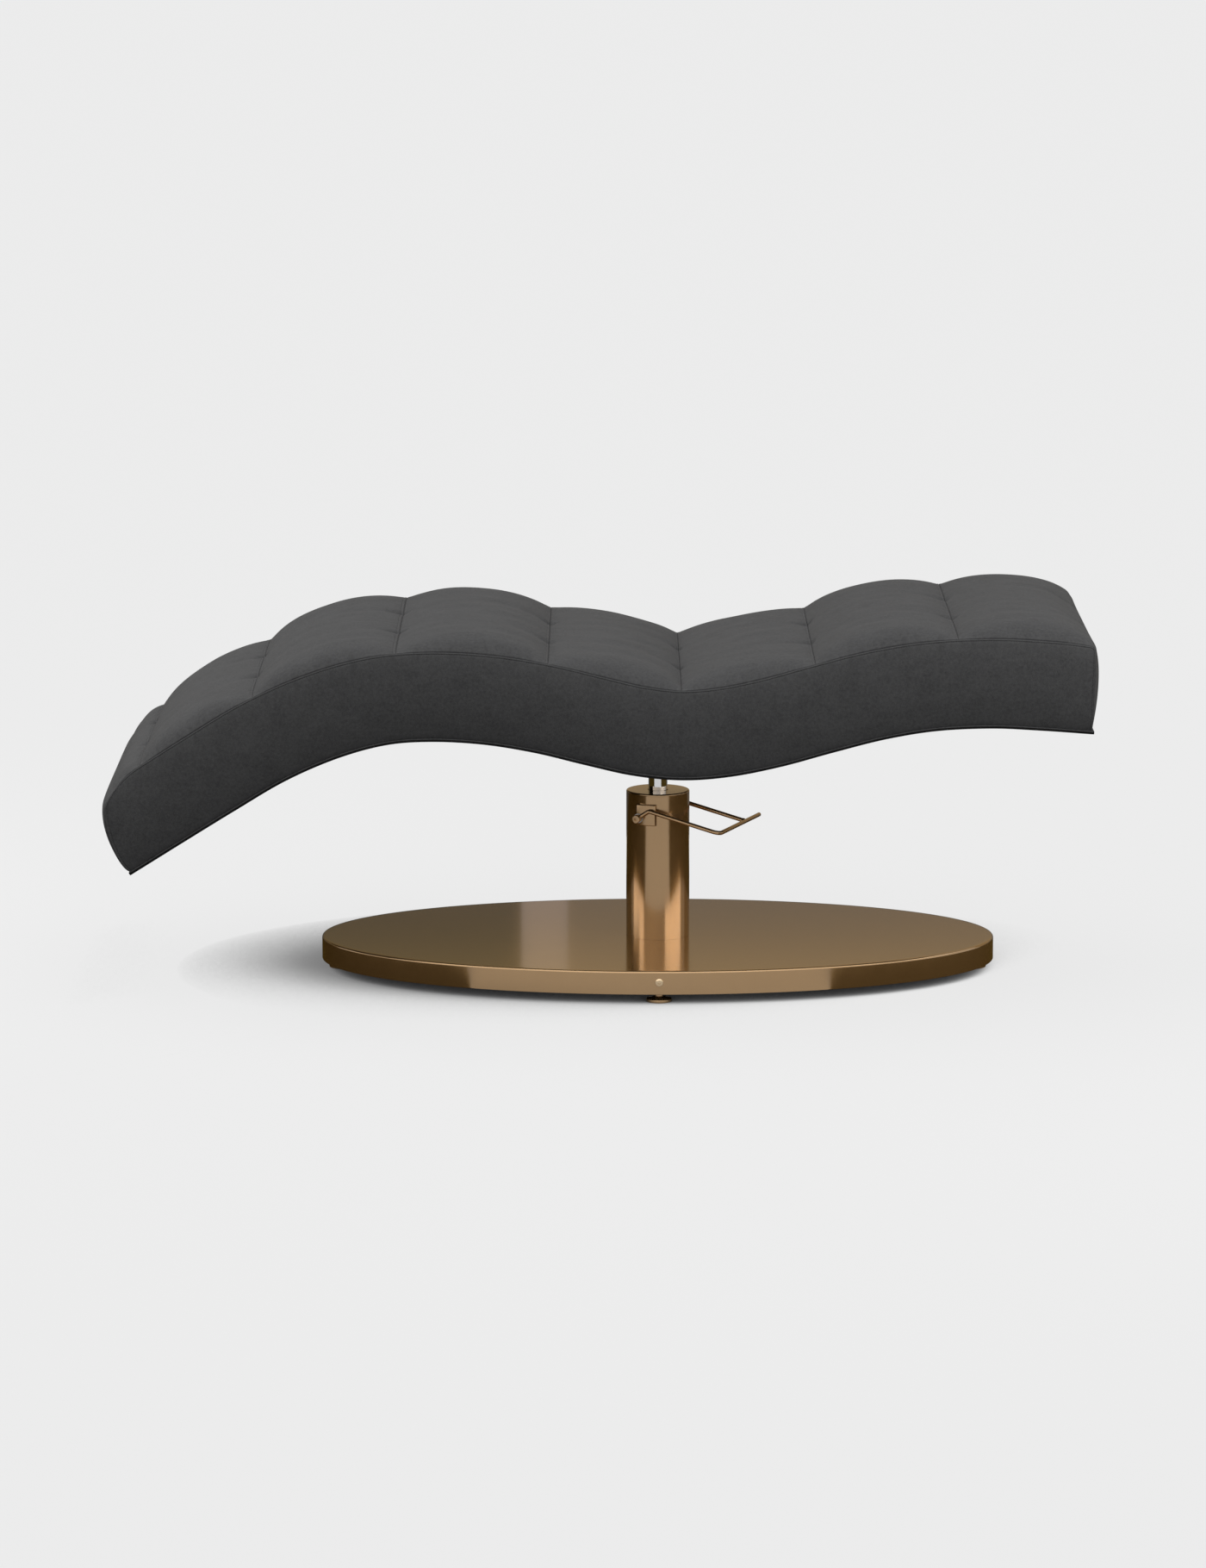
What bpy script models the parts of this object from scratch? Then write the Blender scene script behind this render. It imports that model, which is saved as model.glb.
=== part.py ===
"""Eyelash treatment bed: a wave-shaped channelled cushion on a hydraulic column with an oval base.

Metres, +Z up. The origin is on the floor, under the middle of the bed's length and width. The low
foot end points to -X and the head end to +X. The column stands a little towards the head end, and
its lever forks round it, turned from the bed's line by LEVER_YAW.
"""

import math

import bmesh
import bpy
from mathutils import Matrix, Vector

# Clearances and cutting overrun
GAP = 0.0003
RUN_GAP = 0.0003
OVERRUN = 0.002
MERGE = 0.00001

# Round pieces: number of sides
OVAL_SIDES = 64
TUBE_SIDES = 48
INNER_SIDES = 28
ROD_SIDES = 24
BOLT_SIDES = 16
HEX_SIDES = 6

# Bed: the wave of its lower line, its cover and its cushion
BED_LENGTH = 1.846
LINE_SET_IN = 0.005
BED_WIDTH = 0.720
BED_THICKNESS = 0.171
WAVE_HEIGHT = 0.100
CROWN = 0.025
TUFT_DEPTH = 0.007
SHOULDER = 0.014
SEAM_INSET = 0.014
SIDE_DRAW = 0.008
FOOT_TRIM = 0.058
HEAD_TRIM = 0.006
FOOT_BULGE = 0.034
HEAD_BULGE = 0.014
END_ZONE = 0.030
BOARD_THICKNESS = 0.006
BOARD_INSET = 0.0045
BOARD_LIP = 0.003

# The lower line of the bed: x as a share of its reach each way, z as a share of the wave's height
LINE_SHARES = (
    (-0.943, -1.768), (-0.839, -1.169), (-0.735, -0.577), (-0.632, -0.015), (-0.528, 0.405),
    (-0.430, 0.655), (-0.338, 0.718), (-0.234, 0.665), (-0.131, 0.510), (-0.033, 0.290),
    (0.065, 0.087), (0.163, 0.000), (0.261, 0.065), (0.365, 0.258), (0.468, 0.520),
    (0.572, 0.765), (0.675, 0.920), (0.784, 0.967), (0.882, 0.928), (0.986, 0.860),
)
LINE_STEPS = 24

# Cross seams as shares of the lower line's length, then the tufts as shares of half the width
SEAM_SHARES = (0.0427, 0.1897, 0.3063, 0.4321, 0.5836, 0.7458, 0.8700)
TUFT_SHARE = 1 / 3
CHANNEL_CUT_SHARES = (0.12, 0.35, 0.65, 0.88)
SHORT_CHANNEL_CUT_SHARES = (0.5,)
ACROSS_CUT_SHARES = (TUFT_SHARE, 0.52, 0.72, 0.88, 0.96)
SIDE_CUT_SHARES = (0.12, 0.36, 0.66, 0.87)
CHANNEL_POWER = 2.6
ACROSS_POWER = 18.0
SHORT_CROWN_SHARE = 0.3
LOBE_DIP_SHARE = 0.22
BULGE_POWER = 0.55
CORNER_POWER = 10
CORNER_SHARE = 0.3
HEAD_SHOULDER_SHARE = 0.5
BELLY_SHARE = 0.62

# Bed frame: ribs cut to the wave, rails between them and a bent deck under the foam
SIDE_FOAM = 0.060
RIB_THICKNESS = 0.018
RIB_HEIGHT = 0.078
RAIL_THICKNESS = 0.024
RAIL_HEIGHT = 0.060
DECK_THICKNESS = 0.005
FOOT_FOAM = 0.085
HEAD_FOAM = 0.050
RAIL_SHARES = (0.02, 0.20, 0.38, 0.56, 0.74, 0.98)

# Base: the oval shell, the plate inside it and the screws in its rim
BASE_LENGTH = 1.278
BASE_WIDTH = 0.700
BASE_RIM = 0.044
BASE_CLEARANCE = 0.0195
COVER_WALL = 0.0025
COVER_EDGE = 0.004
COVER_HOLE_ROOM = 0.008
PLATE_THICKNESS = 0.008
PLATE_RISE = 0.002
BRACKET_WIDTH = 0.036
BRACKET_FOOT = 0.024
BRACKET_ROOM = 0.0052
BRACKET_THICKNESS = 0.003
RIM_SCREW = 0.008
RIM_SCREW_HEAD = 0.015
RIM_SCREW_HEAD_HEIGHT = 0.0035
RIM_SCREW_LENGTH = 0.012
RIM_SCREW_SOCKET = 0.005

# Levelling feet, one at each end of the oval's two axes
FOOT_PAD = 0.048
FOOT_PAD_HEIGHT = 0.010
FOOT_PAD_EDGE = 0.002
FOOT_COLLAR = 0.018
FOOT_STEM = 0.012
FOOT_STEM_ROOM = 0.009
FOOT_SET_IN = 0.037
FOOT_NUT = 0.019
FOOT_NUT_HEIGHT = 0.007

# Column and hydraulic pump
COLUMN_X = 0.109
COLUMN_DIAMETER = 0.120
COLUMN_HEIGHT = 0.280
COLUMN_WALL = 0.0025
CAP_THICKNESS = 0.004
CAP_EDGE = 0.0015
CAP_SPIGOT = 0.008
CAP_SPIGOT_WALL = 0.004
CAP_HOLE_CLEARANCE = 0.001
RAM_DIAMETER = 0.036
RAM_FLOOR_ROOM = 0.0202
RAM_STEP = 0.006
RAM_EDGE = 0.001
GUIDE_HEIGHT = 0.014
GUIDE_WALL = 0.008
GUIDE_REACH = 0.002
FLANGE_EDGE = 0.011
FLANGE_THICKNESS = 0.010
FLANGE_BOLT = 0.010
FLANGE_BOLT_HEAD = 0.017
FLANGE_BOLT_HEAD_HEIGHT = 0.0065
FLANGE_BOLT_ROOM = 0.0025
FLANGE_BOLTS = 4
RESERVOIR_INSET = 0.002
RESERVOIR_WALL = 0.003
CYLINDER_WALL = 0.004
HEAD_ROOM = 0.0075
HEAD_HEIGHT = 0.110
HEAD_TOP_ROOM = 0.003
SEAL_WIDTH = 0.006
SEAL_HEIGHT = 0.005

# Lever, its bosses on the column and what it works inside
LEVER_YAW = math.radians(21.5)
BOSS_WIDTH = 0.038
BOSS_HEIGHT = 0.040
BOSS_DEPTH = 0.013
BOSS_PROUD = 0.005
BOSS_DROP = 0.0395
PIVOT_ALONG = -0.014
PIVOT_DROP = 0.006
WASHER_DIAMETER = 0.018
WASHER_THICKNESS = 0.0014
LEVER_ROD = 0.008
ELBOW_ALONG = 0.0087
ELBOW_RISE = 0.0155
CORNER_ALONG = 0.151
CORNER_DROP = 0.018
ELBOW_RADIUS = 0.008
CORNER_RADIUS = 0.014
BEND_STEPS = 5
BAR_TIP = 0.150
EYE_DIAMETER = 0.015
EYE_THICKNESS = 0.0068
PIVOT_BOLT = 0.008
PIVOT_HEAD = 0.0155
PIVOT_HEAD_HEIGHT = 0.006
PIVOT_SOCKET = 0.006
SOCKET_DEPTH = 0.003
HEAD_CHAMFER = 0.001
SHAFT_PROUD = 0.0005
CAM_ROOM = 0.0035
CAM_THICKNESS = 0.0115
CAM_HUB = 0.016
CAM_REACH = 0.0245
CAM_NOSE = 0.012
POCKET_ROOM = 0.0043
POCKET_BACK_ROOM = 0.0025
POCKET_RISE = 0.008
POCKET_DEPTH = 0.043
PLUNGER_STEM = 0.007
PLUNGER_LIP = 0.0003
PLUNGER_HEAD_HEIGHT = 0.004
PLUNGER_GUIDE = 0.0133
PLUNGER_STROKE = 0.0127
SPRING_WIRE = 0.0014
SPRING_ROOM = 0.0008
SPRING_TURNS = 6
SPRING_TURN_POINTS = 10

# A cam web's width to its nose, how far it stands back from each face, and a rounded edge's middle
CAM_WEB_SHARE = 0.8
CAM_RELIEF_SHARE = 0.1
ROUND_SHARE = 0.3

# A button head's round: reach out and height, as shares of its radius and height, and its socket's floor
BUTTON_SHARES = ((0.45, 1.00), (0.82, 0.72), (1.00, 0.25))
BUTTON_FLOOR_SHARE = 0.45

# The rounded tip of a rod: distance from the tip and thickness there, as shares of its radius
DOME_SHARES = ((1.00, 1.00), (0.50, 0.87), (0.13, 0.50), (0.00, 0.22))

# Swivel and seat plate
HUB_ROOM = 0.028
HUB_WALL = 0.016
HUB_ROOF = 0.0025
HUB_HEIGHT = 0.0265
HUB_FLANGE = 0.110
HUB_FLANGE_THICKNESS = 0.006
SWIVEL_WASHER_THICKNESS = 0.002
SEAT_PLATE_LENGTH = 0.240
SEAT_PLATE_AHEAD = 0.033
SEAT_PLATE_WIDTH = 0.220
SEAT_PLATE_THICKNESS = 0.006
SEAT_PLATE_CORNER = 0.015
SEAT_BOLT = 0.008
SEAT_BOLT_HEAD = 0.013
SEAT_BOLT_HEAD_HEIGHT = 0.0053
SEAT_BOLT_LENGTH = 0.018
SEAT_BOLT_EDGE = 0.022
BLOCK_MARGIN = 0.010
BLOCK_LEAST = 0.0182

# Heights above the floor
COVER_TOP = BASE_CLEARANCE + BASE_RIM
PLATE_BOTTOM = BASE_CLEARANCE + PLATE_RISE
PLATE_TOP = PLATE_BOTTOM + PLATE_THICKNESS
NUT_BOTTOM = PLATE_BOTTOM - GAP - FOOT_NUT_HEIGHT
FOOT_STEM_TOP = COVER_TOP - COVER_WALL - FOOT_STEM_ROOM
BRACKET_BOTTOM = PLATE_TOP + GAP
BRACKET_TOP = COVER_TOP - COVER_WALL - BRACKET_ROOM
FLANGE_BOTTOM = PLATE_TOP + GAP
FLANGE_TOP = FLANGE_BOTTOM + FLANGE_THICKNESS
RAM_BOTTOM = FLANGE_TOP + RAM_FLOOR_ROOM
CAP_TOP = COVER_TOP + COLUMN_HEIGHT
COLUMN_TOP = CAP_TOP - CAP_THICKNESS - GAP
HEAD_TOP = COLUMN_TOP - HEAD_TOP_ROOM
HEAD_BOTTOM = HEAD_TOP - HEAD_HEIGHT
BOSS_Z = CAP_TOP - BOSS_DROP
PIVOT_Z = BOSS_Z - PIVOT_DROP
POCKET_FLOOR = PIVOT_Z - POCKET_DEPTH
HUB_BOTTOM = CAP_TOP + HUB_ROOM
HUB_TOP = HUB_BOTTOM + HUB_HEIGHT
RAM_SHOULDER = HUB_BOTTOM - SWIVEL_WASHER_THICKNESS - 2 * GAP
RAM_TOP = HUB_TOP - HUB_FLANGE_THICKNESS + HUB_ROOF - 2 * GAP
SEAT_PLATE_BOTTOM = HUB_TOP + GAP
SEAT_PLATE_TOP = SEAT_PLATE_BOTTOM + SEAT_PLATE_THICKNESS
BED_LOWEST = SEAT_PLATE_TOP + BLOCK_LEAST

# Heights above the bed's lower line, square to it
BED_BODY_BOTTOM = BOARD_THICKNESS + GAP
DECK_BOTTOM = BED_BODY_BOTTOM + RIB_HEIGHT + GAP
CAVITY_TOP = DECK_BOTTOM + DECK_THICKNESS + GAP

# Widths and reaches that follow from the sizes
LINE_REACH = BED_LENGTH / 2 - LINE_SET_IN
BASE_HALF_LENGTH = BASE_LENGTH / 2
BASE_HALF_WIDTH = BASE_WIDTH / 2
FRAME_WIDTH = BED_WIDTH - 2 * SIDE_FOAM
COLUMN_RADIUS = COLUMN_DIAMETER / 2
COLUMN_INNER = COLUMN_RADIUS - COLUMN_WALL
RAM_RADIUS = RAM_DIAMETER / 2
RAM_SPIGOT = RAM_RADIUS - RAM_STEP
GUIDE_STEM = RAM_RADIUS - GUIDE_WALL
CYLINDER_BORE = RAM_RADIUS + GUIDE_REACH
SEAL_RADIUS = RAM_RADIUS + SEAL_WIDTH
HEAD_RADIUS = COLUMN_INNER - HEAD_ROOM
COVER_HOLE = 2 * HEAD_RADIUS + COVER_HOLE_ROOM
RESERVOIR_RADIUS = HEAD_RADIUS - RESERVOIR_INSET
FLANGE_BOLT_REACH = RESERVOIR_RADIUS + FLANGE_BOLT_HEAD / 2 + FLANGE_BOLT_ROOM
FLANGE_RADIUS = FLANGE_BOLT_REACH + FLANGE_EDGE
HUB_RADIUS = RAM_SPIGOT + HUB_WALL
SEAT_X = COLUMN_X + SEAT_PLATE_AHEAD
BOSS_FRONT = COLUMN_RADIUS + BOSS_PROUD
BOSS_BACK = BOSS_FRONT - BOSS_DEPTH
ARM_PLANE = BOSS_FRONT + WASHER_THICKNESS + 2 * GAP + LEVER_ROD / 2
CAM_FRONT = HEAD_RADIUS - CAM_ROOM
CAM_BACK = CAM_FRONT - CAM_THICKNESS
SHAFT_END = CAM_BACK - SHAFT_PROUD
POCKET_BACK = SHAFT_END - POCKET_BACK_ROOM
SPRING_RADIUS = (PLUNGER_STEM + SPRING_WIRE) / 2 + SPRING_ROOM
PLUNGER_HEAD = SPRING_RADIUS + SPRING_WIRE / 2 + PLUNGER_LIP

# Finishes: colour, roughness and metallic
FINISHES = {
    "bronze": ((0.238, 0.150, 0.062), 0.32, 1.0),
    "chrome": ((0.620, 0.620, 0.630), 0.08, 1.0),
    "steel": ((0.300, 0.300, 0.310), 0.45, 1.0),
    "black_steel": ((0.030, 0.030, 0.032), 0.50, 0.6),
    "rubber": ((0.020, 0.020, 0.020), 0.80, 0.0),
    "bearing_bronze": ((0.420, 0.270, 0.110), 0.40, 1.0),
    "upholstery": ((0.060, 0.061, 0.064), 0.62, 0.0),
    "board": ((0.022, 0.022, 0.024), 0.70, 0.0),
    "plywood": ((0.480, 0.330, 0.190), 0.65, 0.0),
}


def clear_scene():
    """Remove every object that the file opened with."""
    for obj in list(bpy.data.objects):
        bpy.data.objects.remove(obj, do_unlink=True)


def make_collection(name):
    """Return a new collection linked to the scene."""
    collection = bpy.data.collections.new(name)
    bpy.context.scene.collection.children.link(collection)
    return collection


def finish_material(name):
    """Return the Principled material of a finish, made once."""
    material = bpy.data.materials.get(name)
    if material is None:
        colour, roughness, metallic = FINISHES[name]
        material = bpy.data.materials.new(name)
        material.use_nodes = True
        shader = material.node_tree.nodes["Principled BSDF"]
        shader.inputs["Base Color"].default_value = (*colour, 1.0)
        shader.inputs["Roughness"].default_value = roughness
        shader.inputs["Metallic"].default_value = metallic
        material.diffuse_color = (*colour, 1.0)
    return material


class Workshop:
    """The collections for the parts and their cutters, and the empty that carries what is made next."""

    def __init__(self):
        self.parts = make_collection("eyelash_bed")
        self.cutters = make_collection("cutters")
        self.carrier = None

    def carry_on(self, name, place):
        """Set what is made next on an empty that stands on its joint's axis."""
        self.carrier = bpy.data.objects.new(name, None)
        self.carrier.location = place
        self.parts.objects.link(self.carrier)

    def add(self, name, mesh, finish, place=None):
        """Place a mesh in the parts collection with its finish, by a matrix in the world."""
        smooth(mesh)
        mesh.materials.clear()
        mesh.materials.append(finish_material(finish))
        obj = bpy.data.objects.new(name, mesh)
        self.parts.objects.link(obj)
        if self.carrier is not None:
            obj.parent = self.carrier
            obj.matrix_parent_inverse = Matrix.Translation(-self.carrier.location)
        obj.matrix_basis = place or Matrix()
        return obj

    def add_cutter(self, name, mesh, place=None):
        """Place a mesh in the cutters collection, drawn as a wire and left out of renders."""
        obj = bpy.data.objects.new(name, mesh)
        self.cutters.objects.link(obj)
        obj.matrix_basis = place or Matrix()
        obj.hide_render = True
        obj.display_type = "WIRE"
        return obj


def boolean(obj, other, operation):
    """Cut or join one object with another, with the exact solver."""
    modifier = obj.modifiers.new(f"{operation.lower()}_{other.name}", "BOOLEAN")
    modifier.operation = operation
    modifier.object = other
    modifier.solver = "EXACT"
    return modifier


def bevel(obj, width, segments, angle=math.radians(40)):
    """Round the edges that are sharper than an angle."""
    modifier = obj.modifiers.new("rounded_edges", "BEVEL")
    modifier.width = width
    modifier.segments = segments
    modifier.limit_method = "ANGLE"
    modifier.angle_limit = angle
    return modifier


def to_mesh(bm, name):
    """Turn a bmesh into a mesh with its faces out."""
    bm.normal_update()
    bmesh.ops.recalc_face_normals(bm, faces=bm.faces)
    mesh = bpy.data.meshes.new(name)
    bm.to_mesh(mesh)
    bm.free()
    return mesh


def smooth(mesh):
    """Shade a round piece smooth, with its corners kept."""
    mesh.shade_smooth()
    mesh.set_sharp_from_angle(angle=math.radians(35))


def cylinder_mesh(name, radius, height, sides, matrix=None):
    """A cylinder or prism with its base at the origin and its axis on +Z, moved by a matrix."""
    bm = bmesh.new()
    made = bmesh.ops.create_cone(bm, cap_ends=True, segments=sides, radius1=radius, radius2=radius,
                                 depth=height)
    bmesh.ops.translate(bm, vec=(0, 0, height / 2), verts=made["verts"])
    if matrix is not None:
        bm.transform(matrix)
    return to_mesh(bm, name)


def box_mesh(name, low, high, matrix=None):
    """A box between two corners, moved by a matrix."""
    low, high = Vector(low), Vector(high)
    bm = bmesh.new()
    bmesh.ops.create_cube(bm, size=1)
    bm.transform(Matrix.Translation((low + high) / 2) @ Matrix.Diagonal((*(high - low), 1)))
    if matrix is not None:
        bm.transform(matrix)
    return to_mesh(bm, name)


def evaluated_mesh(obj):
    """The mesh that an object's curve or modifiers make, with the object itself removed."""
    bpy.context.view_layer.update()
    graph = bpy.context.evaluated_depsgraph_get()
    mesh = bpy.data.meshes.new_from_object(obj.evaluated_get(graph))
    bpy.data.objects.remove(obj, do_unlink=True)
    return mesh


def turned(shop, name, profile, finish, sides, closed=False, place=None):
    """A turned piece: (radius, height) points down its outer side, turned by a Screw modifier."""
    count = len(profile)
    edges = [(i, i + 1) for i in range(count - 1)]
    if closed:
        edges.append((count - 1, 0))
    outline = bpy.data.meshes.new(f"{name}_outline")
    outline.from_pydata([(radius, 0, height) for radius, height in profile], edges, [])
    spun = bpy.data.objects.new(f"{name}_outline", outline)
    shop.cutters.objects.link(spun)
    screw = spun.modifiers.new("turn", "SCREW")
    screw.steps = sides
    screw.render_steps = sides
    screw.use_merge_vertices = True
    screw.merge_threshold = MERGE
    mesh = evaluated_mesh(spun)
    mesh.name = name
    return shop.add(name, mesh, finish, place)


def tube(shop, name, outer, inner, bottom, top, finish, sides=INNER_SIDES, place=None):
    """A plain tube between two heights."""
    profile = [(outer, top), (outer, bottom), (inner, bottom), (inner, top)]
    return turned(shop, name, profile, finish, sides, closed=True, place=place)


def shifted(x, y, z):
    """The matrix that moves a piece to a place."""
    return Matrix.Translation((x, y, z))


def column_point(along=0.0, out=0.0, height=0.0):
    """A place beside the column: along the lever's arms, out of its near face, and up."""
    arm = Vector((math.cos(LEVER_YAW), -math.sin(LEVER_YAW), 0))
    face = Vector((-math.sin(LEVER_YAW), -math.cos(LEVER_YAW), 0))
    return Vector((COLUMN_X, 0, height)) + arm * along + face * out


def lever_frame(out, side):
    """The matrix that carries +Z to the way out of the column's near (1) or far (-1) face, at the pivot."""
    arm = Vector((math.cos(LEVER_YAW), -math.sin(LEVER_YAW), 0))
    face = Vector((-math.sin(LEVER_YAW), -math.cos(LEVER_YAW), 0)) * side
    up = face.cross(arm)
    origin = column_point(PIVOT_ALONG, out * side, PIVOT_Z)
    rotation = Matrix((arm, up, face)).transposed().to_4x4()
    return Matrix.Translation(origin) @ rotation


class BedLine:
    """The lower line of the bed: a smooth curve, laid out as straight runs between shared stations."""

    def __init__(self):
        marks = [Vector((x * LINE_REACH, 0, BED_LOWEST + z * WAVE_HEIGHT)) for x, z in LINE_SHARES]
        first = 2 * marks[0] - marks[1]
        last = 2 * marks[-1] - marks[-2]
        knots = [first, *marks, last]
        self.points = []
        for index in range(1, len(knots) - 2):
            for step in range(LINE_STEPS):
                self.points.append(self.between(knots[index - 1:index + 3], step / LINE_STEPS))
        self.points.append(marks[-1])
        self.reach = [0.0]
        for one, two in zip(self.points, self.points[1:]):
            self.reach.append(self.reach[-1] + (two - one).length)
        self.length = self.reach[-1]
        self.stations = [0.0, *(share * self.length for share in channel_cuts()), self.length]
        self.posts = [self.at(distance) for distance in self.stations]

    @staticmethod
    def between(knots, t):
        """The Catmull-Rom curve's point at t between the two middle knots."""
        a, b, c, d = knots
        return 0.5 * (2 * b + (c - a) * t + (2 * a - 5 * b + 4 * c - d) * t**2 + (3 * b - a - 3 * c + d) * t**3)

    def at(self, distance):
        """The curve's point and unit normal at a distance along it."""
        index = self.run_at(self.reach, distance)
        one, two = self.points[index], self.points[index + 1]
        share = (distance - self.reach[index]) / (self.reach[index + 1] - self.reach[index])
        before = self.points[max(index - 1, 0)]
        after = self.points[min(index + 2, len(self.points) - 1)]
        tangent = (two - before).normalized() * (1 - share) + (after - one).normalized() * share
        tangent.normalize()
        return one.lerp(two, share), Vector((-tangent.z, 0, tangent.x))

    @staticmethod
    def run_at(marks, distance):
        """The index of the run between two marks that holds a distance."""
        index = sum(1 for mark in marks[1:-1] if mark <= distance)
        return min(index, len(marks) - 2)

    def place(self, distance, across, height):
        """The point at a distance along, a width across and a height square to the line."""
        index = self.run_at(self.stations, distance)
        one, two = self.stations[index], self.stations[index + 1]
        share = (distance - one) / (two - one)
        start = self.posts[index][0] + self.posts[index][1] * height
        end = self.posts[index + 1][0] + self.posts[index + 1][1] * height
        return start.lerp(end, share) + Vector((0, across, 0))

    def distance_at(self, x):
        """The distance along the line at which it passes an x."""
        for index, (one, two) in enumerate(zip(self.points, self.points[1:])):
            if one.x <= x <= two.x:
                return self.reach[index] + (two - one).length * (x - one.x) / (two.x - one.x)
        return self.length

    def cuts_between(self, start, end):
        """The stations inside a length of the bed, as shares of that length."""
        return [(mark - start) / (end - start) for mark in self.stations if start + GAP < mark < end - GAP]


def lattice_mesh(name, cuts, place, plain_floor=False):
    """A block cut at shares of its three sides and then shaped: place(u, v, w) gives each corner."""
    bm = bmesh.new()
    bmesh.ops.create_cube(bm, size=1)
    bmesh.ops.translate(bm, vec=(0.5, 0.5, 0.5), verts=bm.verts)
    for axis, shares in enumerate(cuts):
        normal = Vector((0, 0, 0))
        normal[axis] = 1
        for share in shares:
            geometry = bm.verts[:] + bm.edges[:] + bm.faces[:]
            bmesh.ops.bisect_plane(bm, geom=geometry, dist=MERGE, plane_co=normal * share, plane_no=normal)
    if plain_floor:
        inside = [edge for edge in bm.edges if runs_along_floor(edge)]
        bmesh.ops.dissolve_edges(bm, edges=inside, use_verts=True)
    for vert in bm.verts:
        vert.co = place(*vert.co)
    return to_mesh(bm, name)


def runs_along_floor(edge):
    """Whether an edge of the unit block runs lengthways on its lower face, clear of the face's sides."""
    one, two = (vert.co for vert in edge.verts)
    return max(one.z, two.z) < MERGE and abs(one.y - two.y) < MERGE < one.y < 1 - MERGE


def wave_block(name, line, start, end, half_width, low, high, middle=0.0):
    """A block that follows the bed's line: between two distances along it and two heights off it."""
    def place(u, v, w):
        distance = start + (end - start) * u
        across = middle + half_width * (2 * v - 1)
        return line.place(distance, across, low + (high - low) * w)

    return lattice_mesh(name, (line.cuts_between(start, end), (), ()), place)


def channel_cuts():
    """Where the cushion is cut lengthways: at each seam, and inside each channel."""
    edges = [0.0, *SEAM_SHARES, 1.0]
    cuts = list(SEAM_SHARES)
    for index, (one, two) in enumerate(zip(edges, edges[1:])):
        inner = SHORT_CHANNEL_CUT_SHARES if index == 0 else CHANNEL_CUT_SHARES
        cuts.extend(one + (two - one) * share for share in inner)
    return sorted(cuts)


def crown_height(u, across):
    """How far the cushion's top stands over the seam line at u along it and a share across it."""
    edges = [0.0, *SEAM_SHARES, 1.0]
    index = max(i for i in range(len(edges) - 1) if edges[i] <= u + MERGE)
    t = min(max((u - edges[index]) / (edges[index + 1] - edges[index]), 0.0), 1.0)
    along = 1 - abs(2 * t - 1) ** CHANNEL_POWER
    if index == 0:
        along *= SHORT_CROWN_SHARE
    side = 1 - abs(across) ** ACROSS_POWER
    fold = math.exp(-((abs(across) - TUFT_SHARE) / (TUFT_SHARE / 4)) ** 2)
    height = CROWN * along * side * (1 - LOBE_DIP_SHARE * fold)
    on_seam = min(abs(u - seam) for seam in SEAM_SHARES) < MERGE
    if on_seam and abs(abs(across) - TUFT_SHARE) < MERGE:
        height -= TUFT_DEPTH
    return height


def side_draw(w):
    """How far the cushion's side stands in from its full width, from its lower edge (0) to its seam (1)."""
    if w < BELLY_SHARE:
        return SIDE_DRAW * (1 - w / BELLY_SHARE) ** 2
    return SEAM_INSET * ((w - BELLY_SHARE) / (1 - BELLY_SHARE)) ** 3


def cushion_place(line, u, v, w):
    """The cushion's corner at u along it, v across it and w of its thickness."""
    foot_fade = max(0.0, 1 - u / SEAM_SHARES[1])
    head_fade = max(0.0, (u - SEAM_SHARES[-1]) / (1 - SEAM_SHARES[-1]))
    distance = line.length * u + FOOT_TRIM * w * foot_fade - HEAD_TRIM * w * head_fade
    across = 2 * v - 1
    half_width = BED_WIDTH / 2 - side_draw(w)
    height = BED_BODY_BOTTOM + (BED_THICKNESS - BED_BODY_BOTTOM) * w
    at_foot = max(0.0, 1 - u / SEAM_SHARES[0]) ** 2
    at_head = head_fade ** 6
    height -= SHOULDER * w**4 * (at_foot + HEAD_SHOULDER_SHARE * at_head)
    if w > 1 - MERGE:
        height += crown_height(u, across)
    point = line.place(distance, half_width * across, height)
    bulge = math.sin(math.pi * w) ** BULGE_POWER * (1 - CORNER_SHARE * across**CORNER_POWER)
    if u < MERGE:
        point.x -= FOOT_BULGE * bulge
    if u > 1 - MERGE:
        point.x += HEAD_BULGE * bulge
    return point


def set_ends(mesh):
    """Draw the rounded ends of the cushion out, so that it is BED_LENGTH long about the origin."""
    places = [vert.co.x for vert in mesh.vertices]
    for end, side in ((min(places), -1), (max(places), 1)):
        shift = side * BED_LENGTH / 2 - end
        for vert in mesh.vertices:
            nearness = 1 - abs(vert.co.x - end) / END_ZONE
            if nearness > 0:
                vert.co.x += shift * nearness


def make_cushion(shop, line):
    """The upholstered wave: crowned channels, tufts and drawn-in sides, hollow below for the frame."""
    across = [0.5]
    for share in ACROSS_CUT_SHARES:
        across.extend((0.5 - share / 2, 0.5 + share / 2))
    cuts = (channel_cuts(), sorted(across), SIDE_CUT_SHARES)
    mesh = lattice_mesh("bed_cushion", cuts, lambda u, v, w: cushion_place(line, u, v, w), plain_floor=True)
    set_ends(mesh)
    cushion = shop.add("bed_cushion", mesh, "upholstery")
    hollow = wave_block("cushion_hollow", line, FOOT_FOAM - GAP, line.length - HEAD_FOAM + GAP,
                        FRAME_WIDTH / 2 + GAP, BED_BODY_BOTTOM - OVERRUN, CAVITY_TOP)
    boolean(cushion, shop.add_cutter("cushion_hollow", hollow), "DIFFERENCE")


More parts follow.
